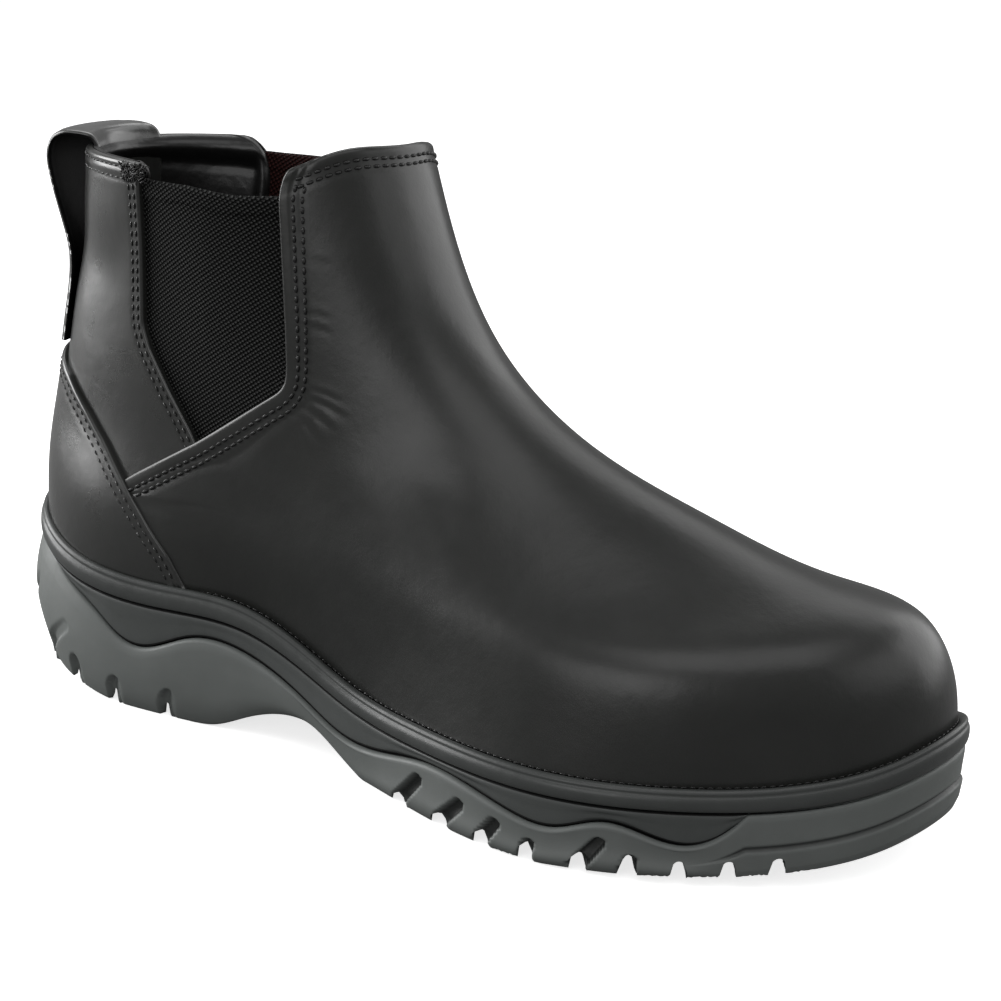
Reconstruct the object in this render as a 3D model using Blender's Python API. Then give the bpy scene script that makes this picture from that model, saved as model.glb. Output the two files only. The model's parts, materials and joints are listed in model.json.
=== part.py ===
"""Side gore work boot, right foot, as its solids: hollow upper, two elastic gores, heel counter, pull loop,
rand, midsole, outsole and insole.

Lengths are in millimetres up to the last step, which writes metres. X runs from heel to toe, -Y is the
outer (lateral) side and Z is up. An angle of 0 on a ring is the back of the heel and pi is the toe.
"""

import bmesh
import bpy
import numpy as np

MM = 0.001

LENGTH = 310.0
BALL_WIDTH = 116.0
RIM_HEIGHT = 43.0
SHAFT_HEIGHT = 181.0

WALL = 2.2
GAP = 0.3
RIM_INSET = 4.0
GORE_THICK = 1.5
COUNTER_THICK = 1.3
LOOP_THICK = 2.2
LOOP_WIDTH = 32.0
INSOLE_THICK = 4.0
SPINE_HALF = 7.0
CHEVRON = 0.56
HEEL_RISE = 4.4
HEEL_SPINE = 12.0
CUT_REACH = 110.0
CUT_START = 4.0

SOLE_STEPS = 58
UPPER_STEPS = 32
UPPER_ROWS = 16

CENTRE = (154.3, -4.6)


def table(header, *rows):
    """Columns by name."""
    return dict(zip(header.split(), np.array(rows, float).T))


# Base colour and roughness of each finish; nothing here is metal.
FINISHES = {
    "black_leather": ((0.026, 0.027, 0.026), 0.38),
    "gore_elastic": ((0.012, 0.012, 0.013), 0.85),
    "sole_rubber": ((0.060, 0.064, 0.063), 0.62),
    "rand_rubber": ((0.045, 0.048, 0.047), 0.48),
    "footbed": ((0.020, 0.020, 0.022), 0.80),
}
FINISH_OF = {
    "upper": "black_leather",
    "heel_counter": "black_leather",
    "pull_loop": "black_leather",
    "gore_lateral": "gore_elastic",
    "gore_medial": "gore_elastic",
    "outsole": "sole_rubber",
    "midsole": "sole_rubber",
    "rand": "rand_rubber",
    "insole": "footbed",
}

# Shares of LENGTH; the reach columns are shares of half BALL_WIDTH, before the rounding of the ends.
SOLE_PLAN = table(
    "at lateral medial",
    (0.00, 1.220, 1.220),
    (0.10, 1.035, 1.030),
    (0.20, 0.835, 0.820),
    (0.40, 0.665, 0.590),
    (0.68, 1.085, 0.990),
    (0.85, 1.180, 1.200),
    (1.00, 1.345, 1.345),
)
# Sideways shift of the middle line, in mm.
SOLE_SWING = table("at shift", (0.0, 0.0), (0.2, -1.0), (0.4, -2.2), (0.7, -3.3), (1.0, 9.5))
# Heights as shares of RIM_HEIGHT.
RIM_LINE = table(
    "at rim rand",
    (0.00, 1.300, 0.185),
    (0.10, 1.065, 0.180),
    (0.22, 0.990, 0.175),
    (0.32, 0.965, 0.165),
    (0.45, 0.660, 0.150),
    (0.55, 0.605, 0.150),
    (0.65, 0.615, 0.150),
    (0.82, 0.650, 0.150),
    (0.92, 0.735, 0.162),
    (0.97, 0.850, 0.178),
    (1.00, 0.970, 0.195),
)
LIP_LINE = table(
    "at lip",
    (0.000, 1.45),
    (0.040, 1.15),
    (0.074, 0.920),
    (0.140, 0.655),
    (0.168, 0.525),
    (0.200, 0.486),
    (0.252, 0.632),
    (0.317, 0.635),
    (0.389, 0.435),
    (0.444, 0.276),
    (0.500, 0.290),
    (0.554, 0.372),
    (0.595, 0.375),
    (0.663, 0.286),
    (0.712, 0.268),
    (0.755, 0.365),
    (0.826, 0.270),
    (0.870, 0.510),
    (0.900, 0.900),
    (1.000, 2.200),
)
FLOOR_LINE = table(
    "at floor",
    (0.000, 0.300),
    (0.020, 0.245),
    (0.045, 0.177),
    (0.065, 0.132),
    (0.085, 0.095),
    (0.116, 0.052),
    (0.142, 0.021),
    (0.175, 0.000),
    (0.260, 0.000),
    (0.285, 0.020),
    (0.320, 0.130),
    (0.365, 0.235),
    (0.405, 0.215),
    (0.440, 0.095),
    (0.470, 0.000),
    (0.700, 0.000),
    (0.775, 0.030),
    (0.835, 0.062),
    (0.890, 0.105),
    (0.935, 0.165),
    (0.970, 0.250),
    (1.000, 0.370),
)
# How far each row of the outsole's wall stands in from the plan, in mm.
WALL_ROWS = table(
    "at lip bulge ledge foot",
    (0.00, 1.4, -1.4, -0.8, 2.6),
    (0.10, 1.0, -0.9, -0.4, 1.6),
    (0.22, 0.6, -0.2, 0.2, 1.4),
    (0.32, 0.5, 0.5, 1.0, 2.2),
    (0.42, 0.5, 1.0, 1.8, 2.8),
    (0.55, 0.6, 0.4, 0.2, 0.6),
    (0.75, 0.6, 0.7, 0.3, 0.5),
    (0.84, 0.6, 1.0, 0.2, 0.7),
    (0.88, 0.6, 1.3, 0.0, 0.8),
    (1.00, 0.6, 1.3, 0.0, 1.0),
)
ROW_SHARES = (1.0, 0.44, 0.38, 0.10, 0.0)
# Rand section: share of the way in from the plan to the upper, and height share of the rand.
RAND_SECTION = ((0.45, 0.0), (0.06, 0.22), (0.0, 0.55), (0.12, 0.84), (0.40, 1.02), (1.0, 0.90), (1.0, 0.0))

# Side view of the upper's two end lines: shares of LENGTH and SHAFT_HEIGHT.
FRONT_LINE = table(
    "x z",
    (0.9830, 0.287),
    (0.9500, 0.389),
    (0.8660, 0.428),
    (0.7460, 0.485),
    (0.6190, 0.560),
    (0.5045, 0.699),
    (0.4174, 1.000),
)
BACK_LINE = table("x z", (0.0150, 0.442), (0.0290, 0.595), (0.0420, 0.746), (0.0500, 0.850), (0.0510, 0.939))
# Height of the collar between back and front, as a share of SHAFT_HEIGHT.
COLLAR_LINE = table("at z", (0.0, 0.939), (0.15, 0.940), (0.36, 0.943), (0.6, 0.952), (0.82, 0.980), (1.0, 1.0))
# Half widths of the upper by height along its lines, as shares of half BALL_WIDTH.
GIRTHS = table(
    "up s0 s20 s40 s70 s88 s100",
    (0.12, 1.110, 0.785, 0.622, 0.960, 1.100, 1.170),
    (0.30, 0.985, 0.715, 0.610, 0.778, 0.862, 0.965),
    (0.50, 0.945, 0.672, 0.603, 0.620, 0.640, 0.724),
    (0.75, 0.800, 0.636, 0.620, 0.636, 0.670, 0.736),
    (1.00, 0.743, 0.693, 0.693, 0.693, 0.710, 0.743),
)
GIRTH_AT = (0.0, 0.2, 0.4, 0.7, 0.88, 1.0)

# Side view of the notch for a gore, from the collar down the front edge and up the back edge, in mm.
NOTCH = (
    (112.0, 200.0),
    (110.0, 181.0),
    (107.0, 176.5),
    (105.2, 172.0),
    (104.6, 167.0),
    (106.6, 150.0),
    (108.8, 130.0),
    (109.8, 118.0),
    (109.6, 113.0),
    (107.6, 110.2),
    (94.1, 100.6),
    (80.2, 91.4),
    (77.4, 90.4),
    (75.4, 91.6),
    (66.3, 103.3),
    (58.2, 114.6),
    (55.2, 121.4),
    (55.2, 133.0),
    (55.8, 145.3),
    (56.4, 162.0),
    (55.8, 165.6),
    (54.2, 168.2),
    (51.4, 170.0),
    (47.0, 171.4),
    (44.0, 200.0),
)
GORE_PANEL = (
    (111.6, 167.8),
    (113.6, 150.0),
    (116.2, 128.0),
    (116.8, 112.0),
    (112.0, 104.6),
    (96.0, 93.2),
    (80.0, 83.2),
    (74.0, 82.6),
    (68.0, 88.0),
    (60.4, 98.8),
    (51.6, 111.0),
    (47.6, 121.0),
    (47.8, 145.0),
    (48.4, 167.6),
    (59.5, 167.3),
    (75.0, 166.6),
    (90.0, 165.6),
    (104.0, 167.0),
)
COUNTER_EDGE = (
    (-30.0, 107.5),
    (9.4, 104.6),
    (22.0, 98.4),
    (33.3, 90.2),
    (42.0, 82.8),
    (49.1, 75.6),
    (60.6, 64.4),
    (71.0, 52.6),
    (76.4, 43.0),
    (78.0, 20.0),
    (-30.0, 20.0),
)
# Middle line of the pull loop: height, and distance out from the upper's surface, in mm.
LOOP_PATH = (
    (106.6, 1.5),
    (118.0, 1.5),
    (128.0, 1.7),
    (136.0, 3.0),
    (144.0, 6.2),
    (152.0, 9.8),
    (160.0, 12.6),
    (166.0, 13.3),
    (170.2, 11.6),
    (172.3, 8.2),
    (172.9, 4.0),
    (172.9, 0.2),
    (172.2, -2.3),
    (169.4, -3.9),
    (164.0, -3.9),
    (157.0, -3.8),
    (150.0, -3.7),
)
# Tread grooves: place, width, height over the floor, and the side view end of the hollow that leans on from
# each one up the wall, in mm.
TREAD = table(
    "at width rise top_x top_z",
    (164.0, 5.2, 3.2, 172.6, 12.0),
    (181.5, 5.2, 3.8, 189.6, 10.4),
    (197.5, 5.0, 4.2, 202.4, 9.2),
    (212.5, 4.8, 4.8, 213.6, 6.6),
    (228.0, 5.0, 4.8, 234.4, 11.0),
    (241.5, 4.8, 5.2, 242.6, 7.6),
    (254.5, 4.6, 5.0, 254.5, 0.0),
    (266.5, 4.6, 5.0, 266.5, 0.0),
    (278.0, 4.8, 5.0, 278.0, 0.0),
)
HEEL_TREAD = table("at width", (18.0, 3.6), (34.0, 3.8), (51.5, 3.8), (71.5, 3.8))


def spline(xs, ys, q):
    """Natural cubic spline through the rows of ys."""
    xs = np.asarray(xs, float)
    ys = np.asarray(ys, float)
    q = np.asarray(q, float)
    n = len(xs)
    h = np.diff(xs)
    matrix = np.eye(n)
    right = np.zeros(ys.shape)
    for i in range(1, n - 1):
        matrix[i, i - 1 : i + 2] = h[i - 1], 2 * (h[i - 1] + h[i]), h[i]
        right[i] = 6 * ((ys[i + 1] - ys[i]) / h[i] - (ys[i] - ys[i - 1]) / h[i - 1])
    bend = np.linalg.solve(matrix, right.reshape(n, -1)).reshape(ys.shape)
    k = np.clip(np.searchsorted(xs, q, side="right") - 1, 0, n - 2)
    tail = (...,) + (None,) * (ys.ndim - 1)
    a = ((xs[k + 1] - q) / h[k])[tail]
    b = ((q - xs[k]) / h[k])[tail]
    curve = ((a**3 - a) * bend[k] + (b**3 - b) * bend[k + 1]) * (h[k] ** 2)[tail] / 6
    return a * ys[k] + b * ys[k + 1] + curve


def along(points, share):
    """Point at a share of the length of a splined line."""
    points = np.asarray(points, float)
    steps = np.hypot(*np.diff(points, axis=0).T)
    at = np.concatenate([[0.0], np.cumsum(steps)])
    return spline(at / at[-1], points, share)


def angle_of(share):
    return np.arccos(1 - 2 * np.asarray(share, float))


def swing(x):
    return spline(SOLE_SWING["at"], SOLE_SWING["shift"], np.clip(x / LENGTH, 0, 1))


def plan(u):
    """Outline of the sole in plan at ring angles u."""
    u = np.asarray(u, float) % (2 * np.pi)
    outer = u <= np.pi
    folded = np.where(outer, u, 2 * np.pi - u)
    stations = angle_of(SOLE_PLAN["at"])
    lateral = spline(stations, SOLE_PLAN["lateral"], folded)
    medial = spline(stations, SOLE_PLAN["medial"], folded)
    reach = np.where(outer, lateral, medial) * BALL_WIDTH / 2
    x = LENGTH * (1 - np.cos(u)) / 2
    return np.stack([x, swing(x) - reach * np.sin(u)], -1)


def inset_plan(u, inset):
    """Plan outline moved in by a distance along its own normal."""
    step = 1e-3
    way = plan(u + step) - plan(u - step)
    way /= np.hypot(way[..., 0], way[..., 1])[..., None]
    inward = np.stack([-way[..., 1], way[..., 0]], -1)
    return plan(u) + inward * np.asarray(inset, float)[..., None]


def ring_share(u):
    return (1 - np.cos(u)) / 2


def rim(share):
    return spline(RIM_LINE["at"], RIM_LINE["rim"], share) * RIM_HEIGHT


def rand_height(share):
    return spline(RIM_LINE["at"], RIM_LINE["rand"], share) * RIM_HEIGHT


def sole_top(share):
    """Height of the flat of the sole under the rand."""
    return rim(share) - rand_height(share) - GAP


def on_sole(share):
    """Height of a piece that rests on the flat of the sole."""
    return sole_top(share) + GAP + 0.05


def lip(share):
    """Top edge of the outsole: a wave that runs into the rand at heel and toe."""
    wave = spline(LIP_LINE["at"], LIP_LINE["lip"], share) * RIM_HEIGHT
    return np.minimum(wave, sole_top(share))


def floor(share):
    raised = spline(FLOOR_LINE["at"], FLOOR_LINE["floor"], share) * RIM_HEIGHT
    flat = (share > 0.175) & (share < 0.26) | (share > 0.47) & (share < 0.70)
    return np.where(flat, 0.0, np.maximum(raised, 0.0))


def ring(u, inset, height):
    """Ring of points round the sole, at a height that is a function of their share of its length."""
    spot = inset_plan(u, np.broadcast_to(inset, u.shape))
    z = height(np.clip(spot[..., 0] / LENGTH, 0, 1))
    return np.concatenate([spot, z[..., None]], -1)


def mixed(low, high, share):
    """Height between two heights."""
    return lambda at: low(at) + share * (high(at) - low(at))


def angles(steps):
    return np.arange(2 * steps) * np.pi / steps


def side_lines(t):
    """Front and back lines of the upper in side view, at heights t from rim to collar."""
    front_foot = inset_plan(np.array([np.pi]), np.array([RIM_INSET]))[0, 0]
    back_foot = inset_plan(np.array([0.0]), np.array([RIM_INSET]))[0, 0]
    size = np.array([LENGTH, SHAFT_HEIGHT])
    front = np.stack([FRONT_LINE["x"], FRONT_LINE["z"]], -1) * size
    back = np.stack([BACK_LINE["x"], BACK_LINE["z"]], -1) * size
    front = np.vstack([[front_foot, rim(1.0)], front])
    back = np.vstack([[back_foot, rim(0.0)], back])
    return along(front, t), along(back, t)


def girth_factor(u, t):
    """Half width before the rounding of the ends, at every height t and angle u."""
    folded = np.where(u <= np.pi, u, 2 * np.pi - u)
    near_end = np.clip(folded, 0.03, np.pi - 0.03)
    side = np.where(u <= np.pi, near_end, 2 * np.pi - near_end)
    foot = inset_plan(side, np.full(side.shape, RIM_INSET))
    first = np.abs((foot[:, 1] - swing(foot[:, 0])) / np.sin(side))
    columns = np.stack([GIRTHS[c] for c in ("s0", "s20", "s40", "s70", "s88", "s100")])
    rows = spline(angle_of(GIRTH_AT), columns, folded).T * BALL_WIDTH / 2
    rows = np.vstack([first, rows])
    return spline(np.concatenate([[0.0], GIRTHS["up"]]), rows, t)


def upper_skin(u, t):
    """Outer surface of the upper: rows t (0 rim, 1 collar) by ring angles u."""
    u = np.asarray(u, float) % (2 * np.pi)
    t = np.asarray(t, float)
    share = ring_share(u)[None, :, None]
    up = t[:, None, None]
    front, back = side_lines(t)
    foot_x = inset_plan(u, np.full(u.shape, RIM_INSET))[:, 0]
    foot = np.stack([foot_x, rim(np.clip(foot_x / LENGTH, 0, 1))], -1)
    ends, starts = side_lines(np.array([0.0, 1.0]))
    top_z = spline(COLLAR_LINE["at"], COLLAR_LINE["z"], ring_share(u)) * SHAFT_HEIGHT
    top = np.stack([starts[1, 0] + (ends[1, 0] - starts[1, 0]) * ring_share(u), top_z], -1)
    foot_ends = (1 - share) * starts[0] + share * ends[0]
    top_ends = (1 - share) * starts[1] + share * ends[1]
    rails = (1 - share) * back[:, None] + share * front[:, None]
    side = (1 - up) * foot + up * top + rails - (1 - up) * foot_ends - up * top_ends
    half = girth_factor(u, t)
    middle = swing(side[..., 0]) * np.clip(1 - t, 0, 1)[:, None]
    y = middle - half * np.sin(u)[None]
    return np.stack([side[..., 0], y, side[..., 1]], -1)


def upper_at(u, t, depth):
    """Points at a depth inside the upper's outer surface (negative is outside it)."""
    step = 1e-3
    t = np.asarray(t, float)
    low = np.clip(t - step, 0, 1)
    high = np.clip(t + step, 0, 1)
    over = upper_skin(u + step, t) - upper_skin(u - step, t)
    rise = upper_skin(u, high) - upper_skin(u, low)
    normal = np.cross(over, rise)
    normal /= np.linalg.norm(normal, axis=-1)[..., None]
    return upper_skin(u, t) - normal * np.asarray(depth, float)


def finish(name):
    """Material of a finish, made once."""
    known = bpy.data.materials.get(name)
    if known:
        return known
    colour, roughness = FINISHES[name]
    made = bpy.data.materials.new(name)
    made.use_nodes = True
    shader = made.node_tree.nodes["Principled BSDF"]
    shader.inputs["Base Color"].default_value = (*colour, 1.0)
    shader.inputs["Roughness"].default_value = roughness
    shader.inputs["Metallic"].default_value = 0.0
    return made


def new_object(name, points, faces):
    """Mesh object in metres with its origin moved under the middle of the boot."""
    points = np.asarray(points, float).reshape(-1, 3) - (*CENTRE, 0.0)
    mesh = bpy.data.meshes.new(name)
    mesh.from_pydata((points * MM).tolist(), [], [list(face) for face in faces])
    build = bmesh.new()
    build.from_mesh(mesh)
    bmesh.ops.remove_doubles(build, verts=build.verts, dist=1e-6)
    bmesh.ops.triangulate(build, faces=build.faces)
    bmesh.ops.recalc_face_normals(build, faces=build.faces)
    build.to_mesh(mesh)
    build.free()
    made = bpy.data.objects.new(name, mesh)
    if name in FINISH_OF:
        mesh.materials.append(finish(FINISH_OF[name]))
    bpy.context.scene.collection.objects.link(made)
    return made


def band_faces(rows, count, wrap=True):
    """Quads between rows of points; wrap also joins the last row to the first."""
    faces = []
    for r in range(rows if wrap else rows - 1):
        for i in range(count):
            j = (i + 1) % count
            here = r * count
            there = (r + 1) % rows * count
            faces.append((here + i, here + j, there + j, there + i))
    return faces


def cap_faces(first, count):
    """Strips across a ring, from its outer side to its inner side."""
    half = count // 2
    faces = []
    for i in range(half):
        a = first + i
        b = first + i + 1
        c = first + (count - i - 1) % count
        d = first + (count - i) % count
        faces.append([k for k in dict.fromkeys((a, b, c, d))])
    return faces


def barrel(name, rows):
    """Closed solid from stacked rings."""
    count = len(rows[0])
    faces = band_faces(len(rows), count, wrap=False)
    faces += cap_faces(0, count) + cap_faces((len(rows) - 1) * count, count)
    return new_object(name, np.concatenate(rows), faces)


def slab(name, outer, inner):
    """Closed sheet between two grids of points."""
    rows, columns = outer.shape[:2]
    size = rows * columns
    faces = []
    for r in range(rows - 1):
        for c in range(columns - 1):
            a = r * columns + c
            quad = (a, a + 1, a + columns + 1, a + columns)
            faces.append(quad)
            faces.append([size + k for k in quad[::-1]])
    edge = [c for c in range(columns)]
    edge += [r * columns + columns - 1 for r in range(1, rows)]
    edge += [(rows - 1) * columns + c for c in range(columns - 2, -1, -1)]
    edge += [r * columns for r in range(rows - 2, 0, -1)]
    for a, b in zip(edge, edge[1:] + edge[:1]):
        faces.append((a, b, size + b, size + a))
    return new_object(name, np.concatenate([outer.reshape(-1, 3), inner.reshape(-1, 3)]), faces)


def prism_mesh(outline, start, end):
    """Points and faces of a side view outline carried from one plan position to another."""
    outline = np.asarray(outline, float)
    count = len(outline)
    near = np.stack([outline[:, 0] + start[0], np.full(count, start[1]), outline[:, 1]], -1)
    far = np.stack([outline[:, 0] + end[0], np.full(count, end[1]), outline[:, 1]], -1)
    faces = [list(range(count)), list(range(2 * count - 1, count - 1, -1))]
    for i in range(count):
        j = (i + 1) % count
        faces.append((i, j, count + j, count + i))
    return np.concatenate([near, far]), faces


def through_side(outline, side):
    """Prism of a side view outline through one side of the boot."""
    return prism_mesh(outline, (0, side * CUT_START), (0, side * CUT_REACH))


def gather(name, pieces):
    """One hidden cutter from many separate prisms."""
    points = []
    faces = []
    total = 0
    for some_points, some_faces in pieces:
        points.append(some_points)
        faces += [[total + k for k in face] for face in some_faces]
        total += len(some_points)
    cutter = new_object(name, np.concatenate(points), faces)
    cutter.hide_render = True
    cutter.display_type = "WIRE"
    return cutter


def boolean(target, cutter, operation):
    modifier = target.modifiers.new(cutter.name, "BOOLEAN")
    modifier.operation = operation
    modifier.solver = "EXACT"
    modifier.object = cutter


def make_upper():
    u = angles(UPPER_STEPS)
    t = np.linspace(0, 1, UPPER_ROWS) ** 1.1
    outer = upper_at(u, t, 0.0)
    inner = upper_at(u, t, WALL)
    skirt_out = outer[0].copy()
    skirt_in = inner[0].copy()
    for skirt in (skirt_out, skirt_in):
        skirt[:, 2] = on_sole(np.clip(skirt[:, 0] / LENGTH, 0, 1))
    rows = np.concatenate([[skirt_out], outer, inner[::-1], [skirt_in]])
    upper = new_object("upper", rows, band_faces(len(rows), len(u)))
    sides = [through_side(NOTCH, -1), through_side(NOTCH, 1)]
    boolean(upper, gather("gore_notches", sides), "DIFFERENCE")


def make_gore(name, side):
    u = np.linspace(0.27, 0.80, 15) * np.pi
    u = u if side < 0 else 2 * np.pi - u
    t = np.linspace(0.22, 1.0, 12)
    face = upper_at(u, t, WALL + GAP)
    back = upper_at(u, t, WALL + GAP + GORE_THICK)
    gore = slab(name, face, back)
    cutter = gather(name + "_outline", [through_side(GORE_PANEL, side)])
    boolean(gore, cutter, "INTERSECT")


def make_counter():
    u = np.linspace(-0.42, 0.42, 25) * np.pi
    t = np.concatenate([[0.014], np.linspace(0.05, 0.56, 10)])
    outer = upper_at(u, t, -GAP - COUNTER_THICK)
    inner = upper_at(u, t, -GAP)
    counter = slab("heel_counter", outer, inner)
    cutter = gather("counter_outline", [prism_mesh(COUNTER_EDGE, (0, -CUT_REACH), (0, CUT_REACH))])
    boolean(counter, cutter, "INTERSECT")


def beside_back(path, widths):
    """Points beside the back of the upper, at each height and distance out of a path and at each width."""
    t = np.linspace(0.3, 1.0, 141)
    line = upper_skin(np.array([0.0]), t)[:, 0]
    at = np.interp(path[:, 0], line[:, 2], t)
    u = np.linspace(-0.25, 0.25, 61) * np.pi
    skin = upper_skin(u, at)
    normal = skin - upper_at(u, at, 1.0)
    points = np.zeros((len(path), len(widths), 3))
    for r, (z, out) in enumerate(path):
        pushed = skin[r] + normal[r] * out
        over = max(z - line[-1, 2], 0.0)
        pushed[:, 2] = min(z, line[-1, 2]) + over
        order = np.argsort(pushed[:, 1])
        for axis in range(3):
            points[r, :, axis] = np.interp(widths, pushed[order, 1], pushed[order, axis])
    return points


def make_loop():
    path = along(LOOP_PATH, np.linspace(0, 1, 26))
    way = np.gradient(path, axis=0)
    way /= np.hypot(way[:, 0], way[:, 1])[:, None]
    across = np.linspace(-0.5, 0.5, 6) * LOOP_WIDTH
    faces = []
    for side in (0.5, -0.5):
        shifted = path + np.stack([way[:, 1], -way[:, 0]], -1) * -side * LOOP_THICK
        faces.append(beside_back(shifted, across))
    slab("pull_loop", faces[0], faces[1])


def make_outsole():
    u = angles(SOLE_STEPS)
    share = ring_share(u)
    insets = [spline(WALL_ROWS["at"], WALL_ROWS[c], share) for c in ("lip", "bulge", "ledge", "foot")]
    insets.append(insets[-1] + 1.0)
    rows = [ring(u, inset, mixed(floor, lip, k)) for inset, k in zip(insets, ROW_SHARES)]
    outsole = barrel("outsole", rows)
    boolean(outsole, gather("tread_grooves", tread_pieces()), "DIFFERENCE")
    boolean(outsole, gather("side_grooves", side_pieces()), "DIFFERENCE")


def side_of(x, side):
    """Half of the plan outline at a length x, on one side."""
    u = angle_of(x / LENGTH)
    return plan(u if side < 0 else 2 * np.pi - u)[..., 1]


def groove(at, width, top, inner, side):
    """Cutter for a groove that runs back and in from the edge of the tread."""
    section = np.array(((-0.5, -3.0), (-0.5, top - 1.5), (-0.2, top), (0.2, top), (0.5, top - 1.5), (0.5, -3.0)))
    reach = abs(side_of(at, side))
    start = (at + CHEVRON * (CUT_REACH - reach), side * CUT_REACH)
    end = (at - CHEVRON * (reach - inner), side * inner)
    return prism_mesh(section * (width, 1.0), start, end)


def tread_pieces():
    """Grooves through the tread from each edge towards the middle."""
    pieces = []
    for side in (-1, 1):
        for at, width, rise in zip(*(TREAD[c] for c in ("at", "width", "rise"))):
            pieces.append(groove(at, width, floor(at / LENGTH) + rise, SPINE_HALF, side))
        for at, width in zip(*HEEL_TREAD.values()):
            pieces.append(groove(at, width, HEEL_RISE, HEEL_SPINE, side))
    return pieces


def side_pieces():
    """Leaning hollows on the wall above the tread grooves, on both sides."""
    pieces = []
    for at, width, rise, top_x, top_z in zip(*TREAD.values()):
        low = floor(at / LENGTH) + rise - 1.2
        for side in (-1, 1):
            if top_z > low:
                pieces.append(leaning_piece(at, width * 0.4, low, (top_x, top_z), side))
    return pieces


def leaning_piece(at, half, low, top, side):
    """Shallow hollow that leans forward up the wall."""
    x, z = top
    outline = ((at - half, low), (at + half, low), (x + 1.8, z - 1.2), (x + 0.6, z), (x - 1.4, z - 0.7))
    wall = side_of((at + x) / 2, side)
    return prism_mesh(outline, (0, side * CUT_REACH), (0, wall - side * 2.4))


def over_lip(share):
    return lip(share) + GAP + 0.05


def make_midsole():
    """Layer between the wave of the outsole and the rand, ending where the two run together."""
    half = np.linspace(0, np.pi, SOLE_STEPS + 1)
    share = ring_share(half)
    open_at = np.flatnonzero(sole_top(share) - over_lip(share) > 1.2)
    kept = half[open_at[0] : open_at[-1] + 1]
    corners = ((1.6, 0.0), (2.4, 0.5), (1.6, 1.0))
    sections = [ring(kept, inset, mixed(over_lip, sole_top, k)) for inset, k in corners]
    far = 2 * np.pi - kept
    sections += [ring(far, inset, mixed(over_lip, sole_top, k)) for inset, k in corners[::-1]]
    rows = np.stack(sections, 1)
    count = rows.shape[1]
    faces = band_faces(len(rows), count, wrap=False)
    faces.append(list(range(count)))
    faces.append([(len(rows) - 1) * count + k for k in range(count)])
    new_object("midsole", rows, faces)


def make_rand():
    u = angles(SOLE_STEPS)
    width = RIM_INSET - GAP
    rows = [ring(u, inward * width, mixed(rand_foot, rim, up)) for inward, up in RAND_SECTION]
    new_object("rand", np.concatenate(rows), band_faces(len(rows), len(u)))


def rand_foot(share):
    return sole_top(share) + GAP


def make_insole():
    u = angles(36)
    inset = RIM_INSET + WALL + 0.5
    rows = [ring(u, inset, on_sole), ring(u, inset, lambda share: on_sole(share) + INSOLE_THICK)]
    barrel("insole", rows)


def main():
    for old in list(bpy.data.objects):
        bpy.data.objects.remove(old)
    make_upper()
    make_gore("gore_lateral", -1)
    make_gore("gore_medial", 1)
    make_counter()
    make_loop()
    make_outsole()
    make_midsole()
    make_rand()
    make_insole()


main()
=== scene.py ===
"""Looks of the side gore work boot: leather panels, elastic gores, linings, stitching and moulded sole.

Lengths are in millimetres in the boot's own frame, as in the part: X from heel to toe, -Y the outer side,
Z up. An angle of 0 on a ring is the back of the heel and pi is the toe. Meshes are written in metres.
"""

import json
import math

import bpy
import numpy as np
from mathutils import Matrix

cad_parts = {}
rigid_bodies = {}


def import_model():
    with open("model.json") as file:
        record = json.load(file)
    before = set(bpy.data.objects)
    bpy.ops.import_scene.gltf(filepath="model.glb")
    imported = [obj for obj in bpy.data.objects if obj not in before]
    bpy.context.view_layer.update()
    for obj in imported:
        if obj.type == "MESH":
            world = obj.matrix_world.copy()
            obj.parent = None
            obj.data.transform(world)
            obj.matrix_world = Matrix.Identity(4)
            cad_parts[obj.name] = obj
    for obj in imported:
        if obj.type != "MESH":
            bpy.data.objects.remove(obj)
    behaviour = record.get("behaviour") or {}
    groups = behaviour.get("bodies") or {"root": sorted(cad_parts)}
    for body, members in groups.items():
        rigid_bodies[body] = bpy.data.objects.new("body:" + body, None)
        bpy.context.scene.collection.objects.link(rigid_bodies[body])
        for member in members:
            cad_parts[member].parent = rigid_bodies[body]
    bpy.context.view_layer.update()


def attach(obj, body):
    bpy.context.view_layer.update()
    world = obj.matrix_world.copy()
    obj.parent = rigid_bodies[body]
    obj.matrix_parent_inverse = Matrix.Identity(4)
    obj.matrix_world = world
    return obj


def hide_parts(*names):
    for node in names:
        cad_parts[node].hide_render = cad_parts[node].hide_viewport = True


MM = 0.001
TURN = 2 * np.pi
# Small change of an angle or a height, to find slopes with.
FINE = 1e-3

LENGTH = 310.0
BALL_WIDTH = 116.0
RIM_HEIGHT = 43.0
SHAFT_HEIGHT = 181.0
CENTRE = (154.3, -4.6)

WALL = 2.2
GAP = 0.3
RIM_INSET = 4.0
GORE_THICK = 1.5
LOOP_THICK = 2.2
LOOP_WIDTH = 32.0
INSOLE_THICK = 4.0
BED_GAP = 0.05
SPINE_HALF = 7.0
CHEVRON = 0.56
HEEL_RISE = 4.4
HEEL_SPINE = 12.0

# Depth of each layer's face under the upper's outer surface; negative is outside it.
VAMP_DEPTH = -0.35
STRIP_DEPTH = -0.70
QUARTER_DEPTH = 0.35
COUNTER_DEPTH = -1.6
PANEL_FOOT = 2.5
COLLAR_ROLL = 1.25
EDGE_ROLL = 0.9
# Widest ring angle of the counter on each side.
COUNTER_ANGLE = 0.352 * np.pi

# Distances of the rows of stitches from each panel's edges and from its collar.
VAMP_SEAMS = (4.1, 6.6)
COLLAR_SEAMS = (3.7, 5.9)
QUARTER_SEAMS = (1.9, 4.0)
QUARTER_COLLAR_SEAMS = (1.9, 5.4)
COUNTER_SEAMS = (2.4, 4.8)
STITCH_PITCH = 2.9
COUNTER_PITCH = 3.0
RAND_PITCH = 2.4
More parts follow.
